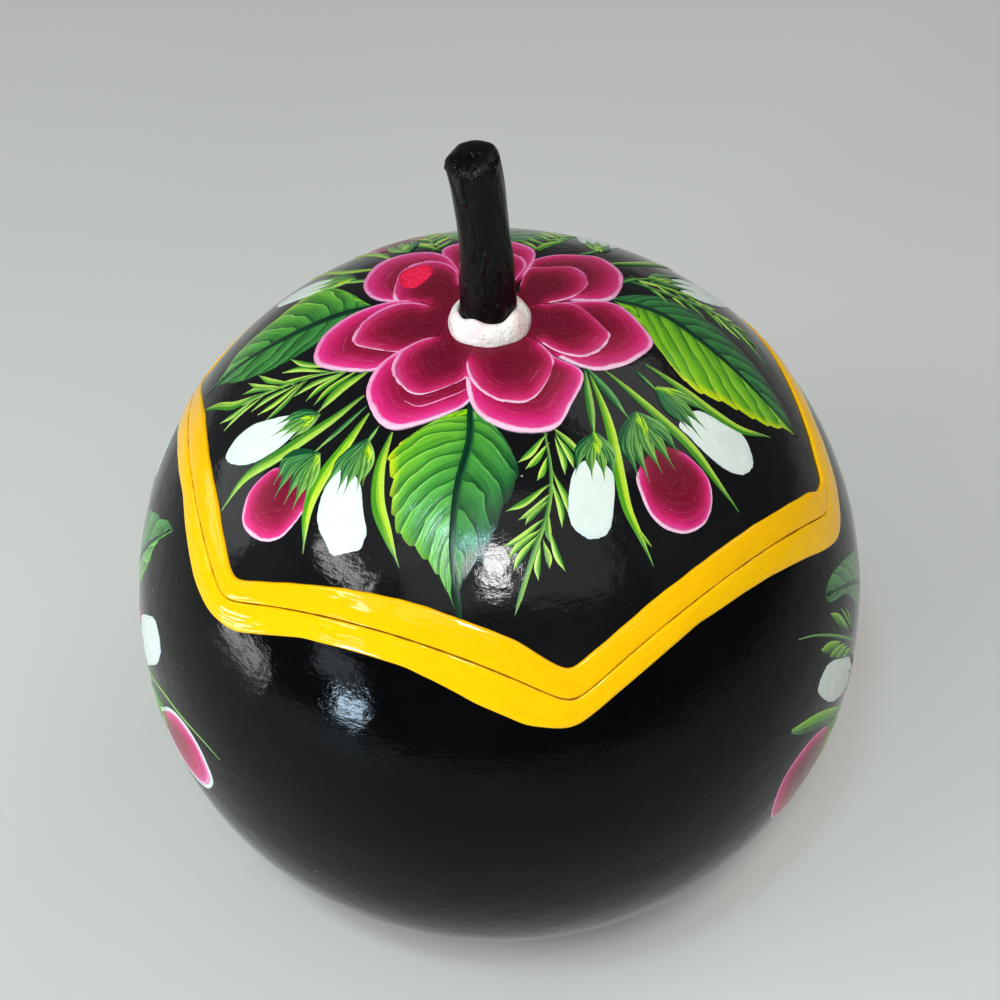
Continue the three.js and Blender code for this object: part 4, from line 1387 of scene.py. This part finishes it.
def paint_right_edge(canvas):
    """What the photograph shows of the right bouquet: leaf tips, two buds and two blades."""
    rib = [(8, 32), (16, 42), (25, 50.5), (33.5, 57)]
    left = [(5, 36), (8, 43), (12.5, 48.6), (21.8, 55.2), (28.2, 57.8), (33.5, 57)]
    right = [(11, 30), (17, 34), (20.6, 40.1), (23.9, 46.4), (29, 52.2), (33, 54), (33.5, 57)]
    # Both halves of this leaf are painted in dark tones: painted shade for this side of the bowl, which lies
    # away from the main lamps.
    leaf_half(canvas, rib, left, 7, lambda u, v: 0.16 + 0.1 * v, lambda u, v: 0.1, 0.3)
    leaf_half(canvas, rib, right, 7, lambda u, v: 0.12 + 0.1 * v, lambda u, v: 0.1, 0.3)
    midrib(canvas, rib, 1.3, tone=0.1, peak=0.3, end=0.05)
    leaflets = (
        ((28.5, 39), (34.5, 51.5), 2.6), ((25.9, 34.9), (29.8, 48.3), 1.0), ((25.7, 35.5), (27.2, 45.3), 0.9),
        ((33.8, 40.4), (42.8, 47.3), 2.8), ((31.5, 37.3), (40.4, 42.4), 2.4), ((30.3, 35.1), (37.7, 39), 2.2),
        ((27.8, 31.3), (34.1, 35), 2.0),
    )
    for foot, tip, width in leaflets:
        middle = 0.5 * np.add(foot, tip)
        stroke(canvas, [foot, middle, tip], width, 5, 0.15, 0.8, peak=0.66, start=0.06, end=0.1, fullness=1.1)
    thin_blade = [(22, 26), (26.5, 32.3), (36.1, 45.1), (42.8, 52.7), (47.7, 56.6)]
    stroke(canvas, thin_blade, 1.0, 6, 0.25, 0.0, peak=0.4, start=0.5, end=0.2)
    white = ((27, 25), (31, 31.5), (36.7, 37.2), (40.9, 40.8), (44.6, 41), (47.5, 39.1), (47.7, 36.1),
             (43.3, 28.7), (37.3, 23.4), (28.7, 18), (24, 18))
    edge_bud(canvas, "white_buds", white, (18, 9), ((28, 29), (30, 25), (33, 21)),
             ((22, 19), (23, 17), (25, 14)))
    pink = ((40, 13), (44, 20), (51.2, 24.4), (58.9, 24.4), (64.5, 20.4), (66.3, 12), (63, 4), (56, 0),
            (48, 0), (42, 5))
    edge_bud(canvas, "pink_buds", pink, (31, 8), ((46, 19), (47, 13), (46, 7)), ((37, 15), (38, 11), (38, 6)))
    blade = [(31, 12), (37, 18), (48.5, 28), (56, 33), (60, 35.8)]
    stroke(canvas, blade, 4.4, 9, 0.0, 1.0, peak=0.72, start=0.06, end=0.25)


# Stage, lamps and camera


def add_object(name, data):
    made = bpy.data.objects.new(name, data)
    bpy.context.scene.collection.objects.link(made)
    return made


def make_floor(material):
    mesh = bpy.data.meshes.new("floor")
    points = [(FLOOR_RADIUS * math.cos(a), FLOOR_RADIUS * math.sin(a), FLOOR_LEVEL) for a in ring_angles(96)]
    mesh.from_pydata(points, [], [tuple(range(len(points)))])
    mesh.materials.append(material)
    add_object("floor", mesh)


def softbox(name, azimuth, elevation, distance, width, height, radiance, tint):
    """A lamp that faces the middle of the gourd. Radiance is its brightness as the lacquer mirrors it."""
    lamp = bpy.data.lights.new(name, "AREA")
    lamp.shape = "RECTANGLE"
    lamp.size = width
    lamp.size_y = height
    lamp.energy = radiance * math.pi * width * height
    lamp.color = tint
    around, up = math.radians(azimuth), math.radians(elevation)
    away = Vector((math.cos(around) * math.cos(up), math.sin(around) * math.cos(up), math.sin(up)))
    holder = add_object(name, lamp)
    holder.location = Vector((0, 0, EQUATOR_LEVEL * MM)) + away * distance
    holder.rotation_euler = away.to_track_quat("Z", "Y").to_euler()


def make_world():
    world = bpy.data.worlds.new("studio")
    world.use_nodes = True
    background = world.node_tree.nodes["Background"]
    background.inputs["Color"].default_value = (0.95, 0.97, 1.0, 1)
    background.inputs["Strength"].default_value = WORLD_STRENGTH
    bpy.context.scene.world = world


def make_camera():
    data = bpy.data.cameras.new("camera")
    data.lens = LENS
    data.sensor_width = SENSOR
    up = math.radians(CAMERA_ELEVATION)
    offset = Vector((0, -math.cos(up), math.sin(up))) * CAMERA_DISTANCE * MM
    aim = Matrix.Rotation(math.radians(90 - CAMERA_ELEVATION), 4, "X")
    roll = Matrix.Rotation(math.radians(-CAMERA_ROLL), 4, "Z")
    tilt = Matrix.Rotation(math.radians(CAMERA_TILT), 4, "X")
    camera = add_object("camera", data)
    camera.matrix_world = Matrix.Translation(Vector((0, 0, EQUATOR_LEVEL * MM)) + offset) @ aim @ roll @ tilt
    bpy.context.scene.camera = camera


make_camera()
make_world()
make_floor(floor_paper())
for lamp in LAMPS:
    softbox(*lamp)

yellow = rim_paint()
# Lid and bowl share one black lacquer, but the lid's is painted lighter and the bowl's darker: painted sheen
# on the lid and painted shade on the bowl.
make_lid(black_lacquer("lid_lacquer", (13, 13, 14), (23, 23, 23), LID_SHINE))
make_bowl(black_lacquer("bowl_lacquer", (3, 3, 4), (8, 8, 8), BOWL_SHINE))
make_bead("bead_of_bowl", "bowl_rim_bead", "bowl", 1, BOWL_BEAD_EDGE, 21, yellow, 0.0)
# The lid's bead has tone 0.6: painted shade that makes it more orange than the bowl's.
make_bead("bead_of_lid", "lid_rim_bead", "lid", -1, LID_BEAD_EDGE, 41, yellow, 0.6)
make_stem(stem_lacquer())
make_collar(paste())

lid = Canvas(lid_place)
left_side = Canvas(side_place(178, 148))
right_side = Canvas(side_place(355, 160, mirrored=True), left_side.films)
paint_lid(lid)
paint_side(left_side, tilt=8)
paint_side(right_side, tilt=-20)
paint_left_edge(left_side)
paint_right_edge(right_side)

pinks = petal_paint()
paints = {
    "petals": pinks,
    "pink_buds": pinks,
    "white_buds": white_paint(),
    "leaves": leaf_paint(),
    "midribs": midrib_paint(),
    "strokes": green_strokes(),
    "daub": red_paint(),
}
for body, canvas in (("lid", lid), ("bowl", left_side)):
    for kind, films in canvas.films.items():
        if films.count:
            films.piece(f"{body}_{kind}", paints[kind], body)

bpy.context.scene.view_settings.view_transform = "Standard"
